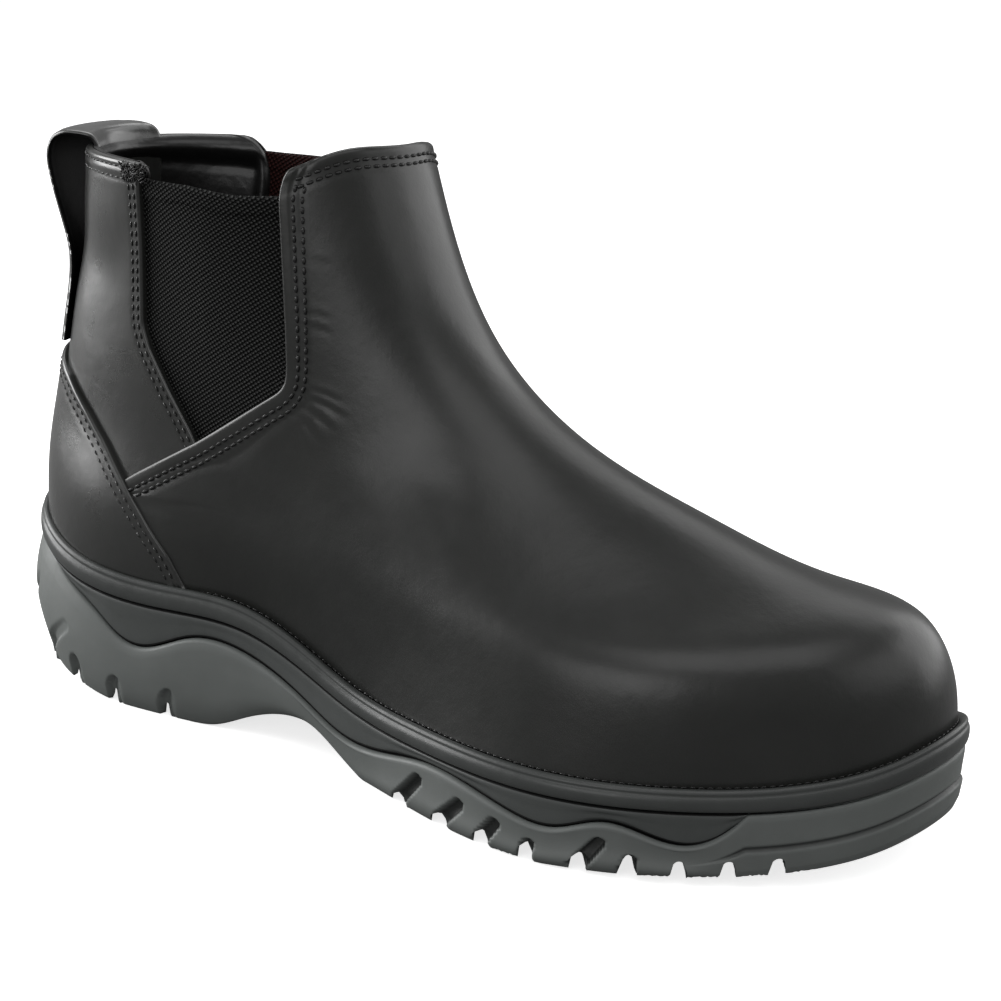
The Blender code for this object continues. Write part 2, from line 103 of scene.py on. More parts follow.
# Length and radius of a stitch in each kind of seam.
VAMP_STITCH = (2.3, 0.52)
QUARTER_STITCH = (2.1, 0.3)
COUNTER_STITCH = (2.2, 0.32)
RAND_STITCH = (1.7, 0.26)
LOOSE_END = (2.4, 0.2)
LOOSE_ENDS = 150
# Rounded stitch: run along it, thickness and lift at each of its rings.
CAPSULE = (
    (-0.5, 0.25, -0.9), (-0.42, 0.75, -0.35), (-0.15, 1.0, 0.1), (0.15, 1.0, 0.1), (0.42, 0.75, -0.35),
    (0.5, 0.25, -0.9),
)
# Distances of a panel's outer columns from its edge, and heights of its rows next to the collar.
EDGE_STEPS = (0.0, 0.08, 0.25, 0.5, 0.9, 1.5, 2.3, 3.1, 3.9, 4.7, 5.5, 6.3, 7.2, 8.2, 9.4, 11.0)
COLLAR_STEPS = (0.970, 0.975, 0.980, 0.984, 0.988, 0.991, 0.994, 0.996, 0.998, 0.9993, 1.0)
COUNTER_STEPS = (0.0, 0.0, 0.1, 0.3, 0.6, 0.95, 1.4, 2.0, 2.8, 3.6, 4.6, 6.0, 8.0)

# Inset and drop of the rows over the outsole's lip.
LIP_ROWS = ((9.0, 0.1), (3.2, 0.1), (1.7, 0.1), (1.1, 0.2), (0.6, 0.45), (0.25, 0.85), (0.05, 1.35))

RING_POINTS = 900
TREAD_POINTS = 1200
WEAVE_PITCH = 1.15

PICTURE = 1001
SENSOR = 36.0
CAMERA_TURN = 29.29
CAMERA_RISE = 16.78
CAMERA_ROLL = 3.21
CAMERA_AWAY = 751.9
CAMERA_FOCAL = 2515.9
CAMERA_MIDDLE = (472.94, 494.7)
CAMERA_TARGET = (155.0, 0.01, 80.0)
FLOOR_GLOW = 0.75
FLOOR_CALM = 0.25
FLOOR_SIZE = 6.0
WORLD_LIGHT = 0.27
LIGHT_TARGET = (0.0, 0.0, 0.08)
LIGHT_AWAY = 1.3
# Soft boxes: bearing from the camera and height in degrees, sides in metres and watts.
SOFT_BOXES = {
    "left_box": (-106, 15, (0.9, 0.9), 16),
    "front_box": (-30, 18, (0.8, 0.6), 2.6),
    "right_box": (112, 20, (1.3, 1), 7.5),
    "toe_box": (60, 22, (0.9, 0.6), 1.4),
    "top_box": (5, 60, (1.2, 0.8), 3.6),
    "back_box": (-160, 48, (0.8, 0.6), 3),
    "back_right_box": (140, 50, (0.9, 0.7), 2.4),
}


def table(header, *rows):
    """Columns by name."""
    return dict(zip(header.split(), np.array(rows, float).T))


# Shares of LENGTH; the reach columns are shares of half BALL_WIDTH, before the rounding of the ends.
SOLE_PLAN = table(
    "at lateral medial",
    (0, 1.22, 1.22), (0.1, 1.035, 1.03), (0.2, 0.835, 0.82), (0.4, 0.665, 0.59), (0.68, 1.085, 0.99),
    (0.85, 1.18, 1.2), (1, 1.345, 1.345),
)
# Sideways shift of the middle line, in mm.
SOLE_SWING = table("at shift", (0, 0), (0.2, -1), (0.4, -2.2), (0.7, -3.3), (1, 9.5))
# Heights as shares of RIM_HEIGHT.
RIM_LINE = table(
    "at rim rand",
    (0, 1.3, 0.185), (0.1, 1.065, 0.18), (0.22, 0.99, 0.175), (0.32, 0.965, 0.165), (0.45, 0.66, 0.15),
    (0.55, 0.605, 0.15), (0.65, 0.615, 0.15), (0.82, 0.65, 0.15), (0.92, 0.735, 0.162), (0.97, 0.85, 0.178),
    (1, 0.97, 0.195),
)
LIP_LINE = table(
    "at lip",
    (0, 1.45), (0.04, 1.15), (0.074, 0.92), (0.14, 0.655), (0.168, 0.525), (0.2, 0.486), (0.252, 0.632),
    (0.317, 0.635), (0.389, 0.435), (0.444, 0.276), (0.5, 0.29), (0.554, 0.372), (0.595, 0.375),
    (0.663, 0.286), (0.712, 0.268), (0.755, 0.365), (0.826, 0.27), (0.87, 0.51), (0.9, 0.9), (1, 2.2),
)
FLOOR_LINE = table(
    "at floor",
    (0, 0.3), (0.02, 0.245), (0.045, 0.177), (0.065, 0.132), (0.085, 0.095), (0.116, 0.052), (0.142, 0.021),
    (0.175, 0), (0.26, 0), (0.285, 0.02), (0.32, 0.13), (0.365, 0.235), (0.405, 0.215), (0.44, 0.095),
    (0.47, 0), (0.7, 0), (0.775, 0.03), (0.835, 0.062), (0.89, 0.105), (0.935, 0.165), (0.97, 0.25),
    (1, 0.37),
)
# How far each row of the outsole's wall stands in from the plan, in mm.
WALL_ROWS = table(
    "at lip bulge ledge foot",
    (0, 1.4, -1.4, -0.8, 2.6), (0.1, 1, -0.9, -0.4, 1.6), (0.22, 0.6, -0.2, 0.2, 1.4),
    (0.32, 0.5, 0.5, 1, 2.2), (0.42, 0.5, 1, 1.8, 2.8), (0.55, 0.6, 0.4, 0.2, 0.6),
    (0.75, 0.6, 0.7, 0.3, 0.5), (0.84, 0.6, 1, 0.2, 0.7), (0.88, 0.6, 1.3, 0, 0.8), (1, 0.6, 1.3, 0, 1),
)
# Side view of the upper's two end lines: shares of LENGTH and SHAFT_HEIGHT.
FRONT_LINE = table(
    "x z",
    (0.983, 0.287), (0.95, 0.389), (0.866, 0.428), (0.746, 0.485), (0.619, 0.56), (0.5045, 0.699),
    (0.4174, 1),
)
BACK_LINE = table("x z", (0.015, 0.442), (0.029, 0.595), (0.042, 0.746), (0.05, 0.85), (0.051, 0.939))
# Height of the collar between back and front, as a share of SHAFT_HEIGHT.
COLLAR_LINE = table("at z", (0, 0.939), (0.15, 0.94), (0.36, 0.943), (0.6, 0.952), (0.82, 0.98), (1, 1))
# How much higher the collar's front stands on the outer and on the inner side, in mm.
COLLAR_LEAN = table(
    "at outer inner",
    (0, 0, 0), (0.45, 0, 0), (0.62, -1.6, -0.8), (0.74, -2.6, -1.8), (0.85, 0.4, -2.4), (0.93, 2.6, -1.8),
    (1, 1.6, 1.6),
)
# Half widths of the upper by height along its lines, as shares of half BALL_WIDTH.
GIRTHS = table(
    "up s0 s20 s40 s70 s88 s100",
    (0.12, 1.11, 0.785, 0.622, 0.96, 1.1, 1.17), (0.3, 0.985, 0.715, 0.61, 0.778, 0.862, 0.965),
    (0.5, 0.945, 0.672, 0.603, 0.62, 0.64, 0.724), (0.75, 0.8, 0.636, 0.62, 0.636, 0.67, 0.736),
    (1, 0.743, 0.693, 0.693, 0.693, 0.71, 0.743),
)
GIRTH_AT = (0, 0.2, 0.4, 0.7, 0.88, 1)
# Side view lines of the panels' edges, in mm, from the collar down.
VAMP_EDGE = (
    (114, 183), (110, 180.2), (107, 176.5), (105.2, 172), (104.6, 167), (106.6, 150), (108.8, 130),
    (109.8, 118), (109.6, 113), (107.6, 110.2), (94.1, 100.6), (78.1, 89.4), (65, 81.2), (53.6, 74),
    (46, 69), (45, 66), (50, 60), (60, 50), (66, 42), (68, 36),
)
QUARTER_EDGE = (
    (44, 173), (49, 171), (51.8, 169.8), (54.2, 168), (55.8, 165.4), (56.4, 162), (55.8, 145.3),
    (55.2, 133), (55.2, 121.4), (58.2, 114.6), (66.3, 103.3), (75.4, 91.6), (79, 86), (80, 78), (80, 60),
)
# Top of the quarter's front edge: square on the outer side, round on the inner side.
SQUARE_CORNER = ((56.6, 174), (56.8, 170), (56.6, 166))
ROUND_CORNER = ((38, 173), (44, 171.4), (49, 169.2), (52.6, 166), (54.8, 162), (55.8, 157))
COUNTER_EDGE = (
    (-30, 107.5), (9.4, 104.6), (22, 98.4), (33.3, 90.2), (42, 82.8), (49.1, 75.6), (60.6, 64.4),
    (71, 52.6), (76.4, 43), (78, 20),
)
GORE_TOP = ((40, 166), (59.5, 166), (75, 166.6), (90, 165.6), (104, 167), (118, 168.4))
GORE_FOOT = ((40, 118), (50, 108), (68, 86), (76, 83), (96, 93), (118, 106))
# Middle line of the pull loop: height, and distance out from the upper's surface, in mm.
LOOP_PATH = (
    (106.6, 1.5), (118, 1.5), (128, 1.7), (136, 3), (144, 6.2), (152, 9.8), (160, 12.6), (166, 13.3),
    (170.2, 11.6), (172.3, 8.2), (172.9, 4), (172.9, 0.2), (172.2, -2.3), (169.4, -3.9), (164, -3.9),
    (157, -3.8), (150, -3.7),
)
# Tread grooves: place, width, height over the floor, and the side view end of the hollow that leans on from
# each one up the wall, in mm.
TREAD = table(
    "at width rise top_x top_z",
    (164, 5.2, 3.2, 172.6, 12), (181.5, 5.2, 3.8, 189.6, 10.4), (197.5, 5, 4.2, 202.4, 9.2),
    (212.5, 4.8, 4.8, 213.6, 6.6), (228, 5, 4.8, 234.4, 11), (241.5, 4.8, 5.2, 242.6, 7.6),
    (254.5, 4.6, 5, 254.5, 0), (266.5, 4.6, 5, 266.5, 0), (278, 4.8, 5, 278, 0),
)
# Stretches of the tread's edge with fine teeth, in mm.
TEETH = ((201.5, 209.5), (245, 251.5), (257.5, 263.5), (269.5, 275), (281, 297))
TOOTH_PITCH = 2.0
TOOTH_HEIGHT = 0.7
HEEL_TREAD = table("at width", (18, 3.6), (34, 3.8), (51.5, 3.8), (71.5, 3.8))
# Slots that lean forward on the back of the heel's wall: ends in side view, width and depth, in mm.
HEEL_SLOTS = table(
    "x0 z0 x1 z1 width depth",
    (8.2, 23, 12.6, 30.5, 3, 1.6), (18.5, 10.8, 30.4, 20.4, 4.2, 1.8),
)
# Section of the rand: share of the way in from the plan to the upper, and height share.
RAND_PROFILE = (
    (0.9, 0.06), (0.5, 0.06), (0.24, 0.06), (0.12, 0.09), (0.05, 0.16), (0.01, 0.26), (0, 0.42),
    (0.03, 0.58), (0.1, 0.69), (0.17, 0.75), (0.19, 0.79), (0.17, 0.84), (0.22, 0.93), (0.34, 1.01),
    (0.5, 1.03), (0.7, 0.99), (0.9, 0.9), (1.05, 0.7),
)
# Soft folds of the leather on the outer side: ends in side view, width and depth, in mm.
CREASES = table(
    "x0 z0 x1 z1 width depth",
    (115.5, 112.5, 127, 110.5, 1, 0.13), (115.5, 110, 129, 106.3, 1.1, 0.16),
    (115, 107.4, 126, 102, 1.1, 0.18), (113.5, 105, 122, 98, 1.1, 0.15),
    (111, 102.8, 117.5, 94.5, 1.1, 0.13), (115, 131, 123, 129.6, 1, 0.12), (115, 134.6, 121.5, 134, 1, 0.1),
    (114.5, 150, 121, 149.2, 0.9, 0.08), (146, 86, 168, 71, 4, 0.2), (154, 93, 176, 78, 4.5, 0.18),
)


def spline(xs, ys, q):
    """Natural cubic spline through the rows of ys."""
    xs = np.asarray(xs, float)
    ys = np.asarray(ys, float)
    q = np.asarray(q, float)
    n = len(xs)
    h = np.diff(xs)
    matrix = np.eye(n)
    right = np.zeros(ys.shape)
    for i in range(1, n - 1):
        matrix[i, i - 1 : i + 2] = h[i - 1], 2 * (h[i - 1] + h[i]), h[i]
        right[i] = 6 * ((ys[i + 1] - ys[i]) / h[i] - (ys[i] - ys[i - 1]) / h[i - 1])
    bend = np.linalg.solve(matrix, right.reshape(n, -1)).reshape(ys.shape)
    k = np.clip(np.searchsorted(xs, q, side="right") - 1, 0, n - 2)
    tail = (...,) + (None,) * (ys.ndim - 1)
    a = ((xs[k + 1] - q) / h[k])[tail]
    b = ((q - xs[k]) / h[k])[tail]
    curve = ((a**3 - a) * bend[k] + (b**3 - b) * bend[k + 1]) * (h[k] ** 2)[tail] / 6
    return a * ys[k] + b * ys[k + 1] + curve


def read(rows, column, share):
    return spline(rows["at"], rows[column], share)


def run_length(points):
    return np.concatenate([[0], np.cumsum(np.linalg.norm(np.diff(points, axis=0), axis=1))])


def resample(points, at, q):
    return np.stack([np.interp(q, at, axis) for axis in points.T], -1)


def along(points, share):
    """Point at a share of the length of a splined line."""
    points = np.asarray(points, float)
    at = run_length(points)
    return spline(at / at[-1], points, share)


def smooth(low, high, value):
    """0 below low, 1 above high, and a soft step between."""
    share = np.clip((np.asarray(value, float) - low) / (high - low), 0, 1)
    return share * share * (3 - 2 * share)


def hump(value, middle, width):
    return np.exp(-(((value - middle) / width) ** 2))


def roll(distance, radius):
    """Drop of a rounded edge at a distance from it."""
    share = np.clip(1 - np.asarray(distance, float) / radius, 0, 1)
    return radius * (1 - np.sqrt(1 - share * share))


def unit(way):
    return way / np.linalg.norm(way, axis=-1)[..., None]


def left_of(way):
    return np.stack([-way[..., 1], way[..., 0]], -1)


def cross(one, other):
    return one[..., 0] * other[..., 1] - one[..., 1] * other[..., 0]


def beside(points, start, end):
    """Distances of points along and beside a line, and its length."""
    way = np.array(end) - np.array(start)
    length = np.hypot(*way)
    way /= length
    off = points - np.array(start)
    return off @ way, off @ left_of(way), length


def angle_of(share):
    return np.arccos(1 - 2 * np.clip(share, 0, 1))


def ring_share(u):
    return (1 - np.cos(u)) / 2


def ring_angles(count):
    return np.arange(count) * TURN / count


def share_at(x):
    return np.clip(x / LENGTH, 0, 1)


def raised(spot, z):
    return np.concatenate([spot, z[..., None]], -1)


def swing(x):
    return read(SOLE_SWING, "shift", share_at(x))


def fold(u):
    return np.where(u <= np.pi, u, TURN - u)


def plan(u):
    u = np.asarray(u, float) % TURN
    stations = angle_of(SOLE_PLAN["at"])
    lateral, medial = (spline(stations, SOLE_PLAN[side], fold(u)) for side in ("lateral", "medial"))
    reach = np.where(u <= np.pi, lateral, medial) * BALL_WIDTH / 2
    x = LENGTH * ring_share(u)
    return np.stack([x, swing(x) - reach * np.sin(u)], -1)


def inset_plan(u, inset):
    inward = left_of(unit(plan(u + FINE) - plan(u - FINE)))
    return plan(u) + inward * np.asarray(inset, float)[..., None]


def rim(share):
    return read(RIM_LINE, "rim", share) * RIM_HEIGHT


def rand_foot(share):
    return rim(share) - read(RIM_LINE, "rand", share) * RIM_HEIGHT


def sole_top(share):
    return rand_foot(share) - GAP


def lip(share):
    return np.minimum(read(LIP_LINE, "lip", share) * RIM_HEIGHT, sole_top(share))


def floor(share):
    high = read(FLOOR_LINE, "floor", share) * RIM_HEIGHT
    flat = (share > 0.175) & (share < 0.26) | (share > 0.47) & (share < 0.70)
    return np.where(flat, 0, np.maximum(high, 0))


def side_lines(t):
    """Front and back lines of the upper in side view, from rim (0) to collar (1)."""
    lines = []
    for rows, u, end in ((FRONT_LINE, np.pi, 1), (BACK_LINE, 0, 0)):
        foot = inset_plan(np.array([u]), RIM_INSET)[0, 0]
        spots = np.stack([rows["x"], rows["z"]], -1) * (LENGTH, SHAFT_HEIGHT)
        lines.append(along(np.vstack([[foot, rim(end)], spots]), t))
    return lines


def half_width(u, t):
    """Half width before the rounding of the ends."""
    near_end = np.clip(fold(u), 0.03, np.pi - 0.03)
    side = np.where(u <= np.pi, near_end, TURN - near_end)
    foot = inset_plan(side, RIM_INSET)
    first = np.abs((foot[..., 1] - swing(foot[..., 0])) / np.sin(side))
    columns = np.stack(list(GIRTHS.values())[1:])
    rows = spline(angle_of(GIRTH_AT), columns, fold(u)) * BALL_WIDTH / 2
    rows = np.concatenate([first[..., None], rows], -1)
    knots = np.concatenate([[0], GIRTHS["up"]])
    return (spline(knots, np.eye(len(knots)), t) * rows).sum(-1)


def skin(u, t):
    """Outer surface of the upper at ring angles and heights (0 rim, 1 collar)."""
    u, t = np.broadcast_arrays(np.asarray(u, float) % TURN, np.asarray(t, float))
    share = ring_share(u)
    front, back = side_lines(t)
    foot_x = inset_plan(u, RIM_INSET)[..., 0]
    foot = np.stack([foot_x, rim(share_at(foot_x))], -1)
    ends, starts = side_lines(np.array([0, 1]))
    lean = spline(COLLAR_LEAN["at"], np.stack([COLLAR_LEAN["outer"], COLLAR_LEAN["inner"]], -1), share)
    top_z = read(COLLAR_LINE, "z", share) * SHAFT_HEIGHT + np.where(u <= np.pi, lean[..., 0], lean[..., 1])
    top = np.stack([starts[1, 0] + (ends[1, 0] - starts[1, 0]) * share, top_z], -1)
    share, up = share[..., None], t[..., None]
    foot_ends = (1 - share) * starts[0] + share * ends[0]
    top_ends = (1 - share) * starts[1] + share * ends[1]
    rails = (1 - share) * back + share * front
    side = (1 - up) * foot + up * top + rails - (1 - up) * foot_ends - up * top_ends
    y = swing(side[..., 0]) * np.clip(1 - t, 0, 1) - half_width(u, t) * np.sin(u)
    return np.stack([side[..., 0], y, side[..., 1]], -1)


def normals(u, t):
    over = skin(u + FINE, t) - skin(u - FINE, t)
    rise = skin(u, np.clip(t + FINE, 0, 1)) - skin(u, np.clip(t - FINE, 0, 1))
    return unit(np.cross(over, rise))


def under(u, t, depth):
    """Points at a depth under the upper's surface."""
    return skin(u, t) - normals(u, t) * np.asarray(depth, float)[..., None]


def pace(u, t):
    """Distance on the upper for each unit of ring angle."""
    return np.linalg.norm(skin(u + FINE, t) - skin(u, t), axis=-1) / FINE


def round_side(share, side):
    """Ring angle of a share of the length, on the outer (-1) or inner (1) side."""
    u = angle_of(share)
    return u if side < 0 else TURN - u


def side_view(share, t, side):
    return skin(round_side(share, side), t)[..., ::2]


def locate(spots, side):
    """Ring angles and heights of side view points."""
    spots = np.asarray(spots, float)
    share = np.clip(spots[..., 0] / LENGTH, 0.01, 0.99)
    t = np.clip((spots[..., 1] - 40) / 140, 0.01, 0.99)
    step = 1e-4
    for _ in range(14):
        here = side_view(share, t, side)
        over = (side_view(share + step, t, side) - here) / step
        rise = (side_view(share, t + step, side) - here) / step
        miss = spots - here
        area = cross(over, rise)
        share = np.clip(share + np.clip(cross(miss, rise) / area, -0.1, 0.1), 1e-4, 0.999)
        t = np.clip(t + np.clip(cross(over, miss) / area, -0.2, 0.2), 0, 1.0 - step)
    return round_side(share, side), t


def height_on(u, line):
    """Height at which each ring angle meets a side view line."""
    low = np.zeros(u.shape)
    high = np.ones(u.shape)
    for _ in range(24):
        middle = (low + high) / 2
        spot = skin(u, middle)
        over = spot[..., 2] > np.interp(spot[..., 0], *np.transpose(line))
        high = np.where(over, middle, high)
        low = np.where(over, low, middle)
    return (low + high) / 2


def moved_line(line, distance):
    return line + left_of(unit(np.gradient(line, axis=0))) * distance


def fine_line(line):
    """Line with a point about every millimetre."""
    line = np.asarray(line, float)
    at = run_length(line)
    return resample(line, at, np.linspace(0, at[-1], int(at[-1]) + 1))


def rounded(line):
    soft = fine_line(line)
    for _ in range(3):
        soft[1:-1] = (soft[:-2] + 2 * soft[1:-1] + soft[2:]) / 4
    return soft


def edge_angles(line, side, t):
    """Ring angle of a panel's edge at each height, and its lean."""
    line = rounded(line)
    u, at = locate(line, side)
    order = np.argsort(at)
    lean = np.abs(np.gradient(line[:, 0]) / np.minimum(np.gradient(line[:, 1]), -0.15))
    turn = np.sqrt(1 + np.clip(lean, 0, 3) ** 2)
    return np.interp(t, at[order], u[order]), np.interp(t, at[order], turn[order])


def both_edges(lines, across_toe, t):
    """Ring angles of a panel's left and right edges, and their leans."""
    outer, outer_turn = edge_angles(lines[0], -1, t)
    inner, inner_turn = edge_angles(lines[1], 1, t)
    if across_toe:
        return outer, inner, outer_turn, inner_turn
    return inner - TURN, outer, inner_turn, outer_turn


def grid_quads(index):
    return np.stack([index[:-1, :-1], index[:-1, 1:], index[1:, 1:], index[1:, :-1]], -1).reshape(-1, 4)


def new_piece(name, grid, material, replaced=(), slot="black_leather", wrap=False, flip=False, flat=None):
    """Mesh of a grid of points, riding on the boot."""
    rows, columns = grid.shape[:2]
    index = np.arange(rows * columns).reshape(rows, columns)
    if wrap:
        index = np.concatenate([index, index[:, :1]], 1)
    quads = grid_quads(index)[:, :: -1 if flip else 1]
    made = new_mesh(name, grid.reshape(-1, 3), quads, material)
    if flat is not None:
        layer = made.data.uv_layers.new(name="flat")
        layer.data.foreach_set("uv", flat.reshape(-1, 2)[quads.reshape(-1)].astype(np.float32).reshape(-1))
    dress(made, replaced)
    return made


def add_object(name, data):
    made = bpy.data.objects.new(name, data)
    bpy.context.scene.collection.objects.link(made)
    return made


def new_mesh(name, points, faces, material):
    mesh = bpy.data.meshes.new(name)
    points = (np.asarray(points, float) - (*CENTRE, 0)) * MM
    mesh.from_pydata(points.tolist(), [], np.asarray(faces).tolist())
    mesh.polygons.foreach_set("use_smooth", np.ones(len(mesh.polygons), bool))
    mesh.materials.append(material)
    return add_object(name, mesh)


def paint(made, material, chosen):
    """Second material on the chosen faces."""
    made.data.materials.append(material)
    made.data.polygons.foreach_set("material_index", chosen.astype(np.int32))


def paint_ends(made, material, columns, first, last):
    """Second material before the first row of faces and after the last."""
    row = np.arange(len(made.data.polygons)) // columns
    paint(made, material, (row < first) | (row > last))


def dress(made, replaced=()):
    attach(made, "root")
    if replaced:
        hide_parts(*replaced)


def grey(level):
    return (level, level, level)


NOISE, CELLS, WAVE = "ShaderNodeTexNoise", "ShaderNodeTexVoronoi", "ShaderNodeTexWave"


class Nodes:
    """Material whose textures are placed in millimetres."""

    def __init__(self, name, scale=1000.0, layer=None):
        self.material = bpy.data.materials.new(name)
        self.material.use_nodes = True
        self.tree = self.material.node_tree
        self.shader = self.tree.nodes["Principled BSDF"]
        source = self.add("ShaderNodeTexCoord").outputs["Object"]
        if layer:
            source = self.add("ShaderNodeUVMap", uv_map=layer).outputs["UV"]
        self.where = self.add("ShaderNodeMapping", {"Vector": source, "Scale": grey(scale)}).outputs["Vector"]

    def add(self, kind, inputs=(), **settings):
        node = self.tree.nodes.new(kind)
        for key, value in settings.items():
            setattr(node, key, value)
        for key, value in dict(inputs).items():
            self.put(node, key, value)
        return node

    def put(self, node, key, value):
        if isinstance(value, bpy.types.NodeSocket):
            self.tree.links.new(value, node.inputs[key])
        else:
            node.inputs[key].default_value = value

    def noise(self, scale, detail=3, rough=0.5):
        wanted = {"Vector": self.where, "Scale": scale, "Detail": detail, "Roughness": rough}
        return self.add(NOISE, wanted).outputs["Fac"]

    def cells(self, scale):
        return self.add(CELLS, {"Vector": self.where, "Scale": scale}).outputs["Distance"]

    def ramp(self, value, low, high, to_low=0, to_high=1):
        wanted = {"Value": value, "From Min": low, "From Max": high, "To Min": to_low, "To Max": to_high}
        return self.add("ShaderNodeMapRange", wanted).outputs["Result"]

    def sum(self, one, weight, other):
        return self.add("ShaderNodeMath", {0: one, 1: weight, 2: other}, operation="MULTIPLY_ADD").outputs[0]

    def tint(self, share, dark, light):
        node = self.add("ShaderNodeMix", data_type="RGBA")
        self.put(node, 0, share)
        for key, value in ((6, dark), (7, light)):
            self.put(node, key, value if isinstance(value, bpy.types.NodeSocket) else (*value, 1))
        return node.outputs[2]

    def bump(self, height, strength, distance, before=None):
        wanted = {"Height": height, "Strength": strength, "Distance": distance}
        if before:
            wanted["Normal"] = before
        return self.add("ShaderNodeBump", wanted).outputs["Normal"]

    def finish(self, **wanted):
        for key, value in wanted.items():
            self.put(self.shader, key.replace("_", " "), value)
        return self.material


def leather_material(name, coat, rough_low, rough_high):
    """Smooth black full grain leather with a soft polish."""
    made = Nodes(name)
    broad = made.noise(0.02, 4, 0.55)
    height = made.sum(made.cells(1.5), 0.5, made.noise(2.4, 3, 0.6))
    normal = made.bump(made.noise(0.09, 3, 0.55), 0.10, 0.0022)
    normal = made.bump(height, 0.16, 0.00012, normal)
    colour = made.tint(made.ramp(broad, 0.35, 0.65), (0.0115, 0.0122, 0.0112), (0.0175, 0.0182, 0.0168))
    rough = made.ramp(made.noise(0.05, 5, 0.6), 0.3, 0.7, rough_low, rough_high)
    coating = {"Coat_Weight": coat, "Coat_Roughness": 0.24}
    return made.finish(Base_Color=colour, Roughness=rough, Normal=normal, **coating)


def lining_material():
    made = Nodes("black_lining")
    grain = made.noise(0.9, 4, 0.6)
    normal = made.bump(made.noise(0.12, 2), 0.25, 0.002)
    normal = made.bump(grain, 0.3, 0.0002, normal)
    colour = made.tint(grain, grey(0.004), grey(0.008))
    return made.finish(Base_Color=colour, Roughness=0.33, Normal=normal, Coat_Weight=0.1, Coat_Roughness=0.2)


def fine_material(name, kind, wanted, tones, strength, depth, **look):
    """Plain material whose colour and bump follow one texture."""
    made = Nodes(name)
    weave = made.add(kind, {"Vector": made.where, **wanted}).outputs[0]
    return made.finish(Base_Color=made.tint(weave, *tones), Normal=made.bump(weave, strength, depth), **look)


def elastic_material(name, dark, light):
    made = Nodes(name, 1, "flat")
    ribs = []
    for lean in (-0.62, 0.95):
        turned = made.add("ShaderNodeMapping", {"Vector": made.where, "Rotation": (0, 0, lean)})
        wanted = {"Vector": turned.outputs["Vector"], "Scale": 0.314 / WEAVE_PITCH}
        wanted.update({"Distortion": 0.35, "Detail Scale": 2.0})
        ribs.append(made.add(WAVE, wanted, bands_direction="Y").outputs["Fac"])
    height = made.sum(ribs[1], 0.8, ribs[0])
    normal = made.bump(height, 0.9, 0.00045)
    # Colour follows the ribs' height: painted highlight on the knots and painted shade in the grooves between
    # them.
    colour = made.tint(made.ramp(height, 1, 1.7), dark, light)
    return made.finish(Base_Color=colour, Roughness=0.66, Normal=normal, Specular_IOR_Level=0.10)


def rubber_material(name, dark, light, rough, hollow_shade=None):
    """Moulded rubber with a faint bloom; when a colour for the hollows is given, painted shade darkens the
    mesh's hollows.
    """
    made = Nodes(name)
    normal = made.bump(made.noise(3, 3, 0.6), 0.22, 0.00012)
    normal = made.bump(made.noise(0.25), 0.10, 0.0006, normal)
    colour = made.tint(made.ramp(made.noise(0.035, 4, 0.6), 0.3, 0.7), dark, light)
    # Painted shade: the mesh's weights for its hollows blend the colour towards the given dark colour.
    if hollow_shade:
        inside = made.add("ShaderNodeAttribute", attribute_name="hollow_shade").outputs["Fac"]
        colour = made.tint(inside, colour, hollow_shade)
    shine = made.ramp(made.noise(0.3, 4, 0.6), 0.3, 0.7, rough - 0.05, rough + 0.06)
    return made.finish(Base_Color=colour, Roughness=shine, Normal=normal)


def thread_material():
    made = Nodes("black_thread")
    twist = made.add(WAVE, {"Vector": made.where, "Scale": 1.1}, bands_direction="DIAGONAL").outputs["Fac"]
    colour = made.tint(twist, grey(0.005), grey(0.014))
    return made.finish(Base_Color=colour, Roughness=0.27, Normal=made.bump(twist, 0.5, 0.0001))


def crease_depth(points):
    depth = np.zeros(points.shape[:-1])
    for x0, z0, x1, z1, width, deep in zip(*CREASES.values()):
        run, across, length = beside(points[..., ::2], (x0, z0), (x1, z1))
        across = across - 0.05 * length * np.sin(np.clip(run / length, 0, 1) * np.pi)
        fade = smooth(-0.25 * length, 0.3 * length, run) * smooth(1.25 * length, 0.7 * length, run)
        depth += fade * deep * (hump(across, 0, width) - 0.7 * hump(across, 1.7 * width, 1.1 * width))
    return depth * (points[..., 1] < 0)


def seam_depth(distance, rows, deep=0.22):
    return sum(deep * hump(distance, row, 0.8) for row in rows)


def panel_columns(left, right, left_turn, right_turn, t, count):
    """Ring angles of a panel's columns, and their distances from the nearer edge."""
    left_pace = (pace(left, t) / left_turn)[:, None]
    right_pace = (pace(right, t) / right_turn)[:, None]
    left, right = left[:, None], right[:, None]
    first = left + np.array(EDGE_STEPS) / left_pace
    last = right - np.array(EDGE_STEPS[::-1]) / right_pace
    share = np.linspace(0, 1, count + 2)[1:-1]
    u = np.concatenate([first, first[:, -1:] + (last[:, :1] - first[:, -1:]) * share, last], 1)
    return u, np.minimum((u - left) * left_pace, (right - u) * right_pace)


def panel(name, lines, across_toe, t, depth_of, material, count, replaced=()):
    """Leather between two side view edges, rolled there and at the collar."""
    u, edge = panel_columns(*both_edges(lines, across_toe, t), t, count)
    up = np.repeat(t[:, None], u.shape[1], 1)
    points = skin(u, up)
    collar = np.linalg.norm(skin(u, np.ones(up.shape)) - points, axis=-1)
    depth = depth_of(up, points, edge, collar) + roll(edge, EDGE_ROLL) + roll(collar, COLLAR_ROLL)
    face = points - normals(u, up) * depth[..., None]
    left, right = (under(u[:, k], t, PANEL_FOOT)[:, None] for k in (0, -1))
    top = np.pad(u[-1], 1, "edge")
    last = under(top, np.ones(top.shape), PANEL_FOOT)
    grid = np.concatenate([np.concatenate([left, face, right], 1), last[None]], 0)
    new_piece(name, grid, material, replaced)


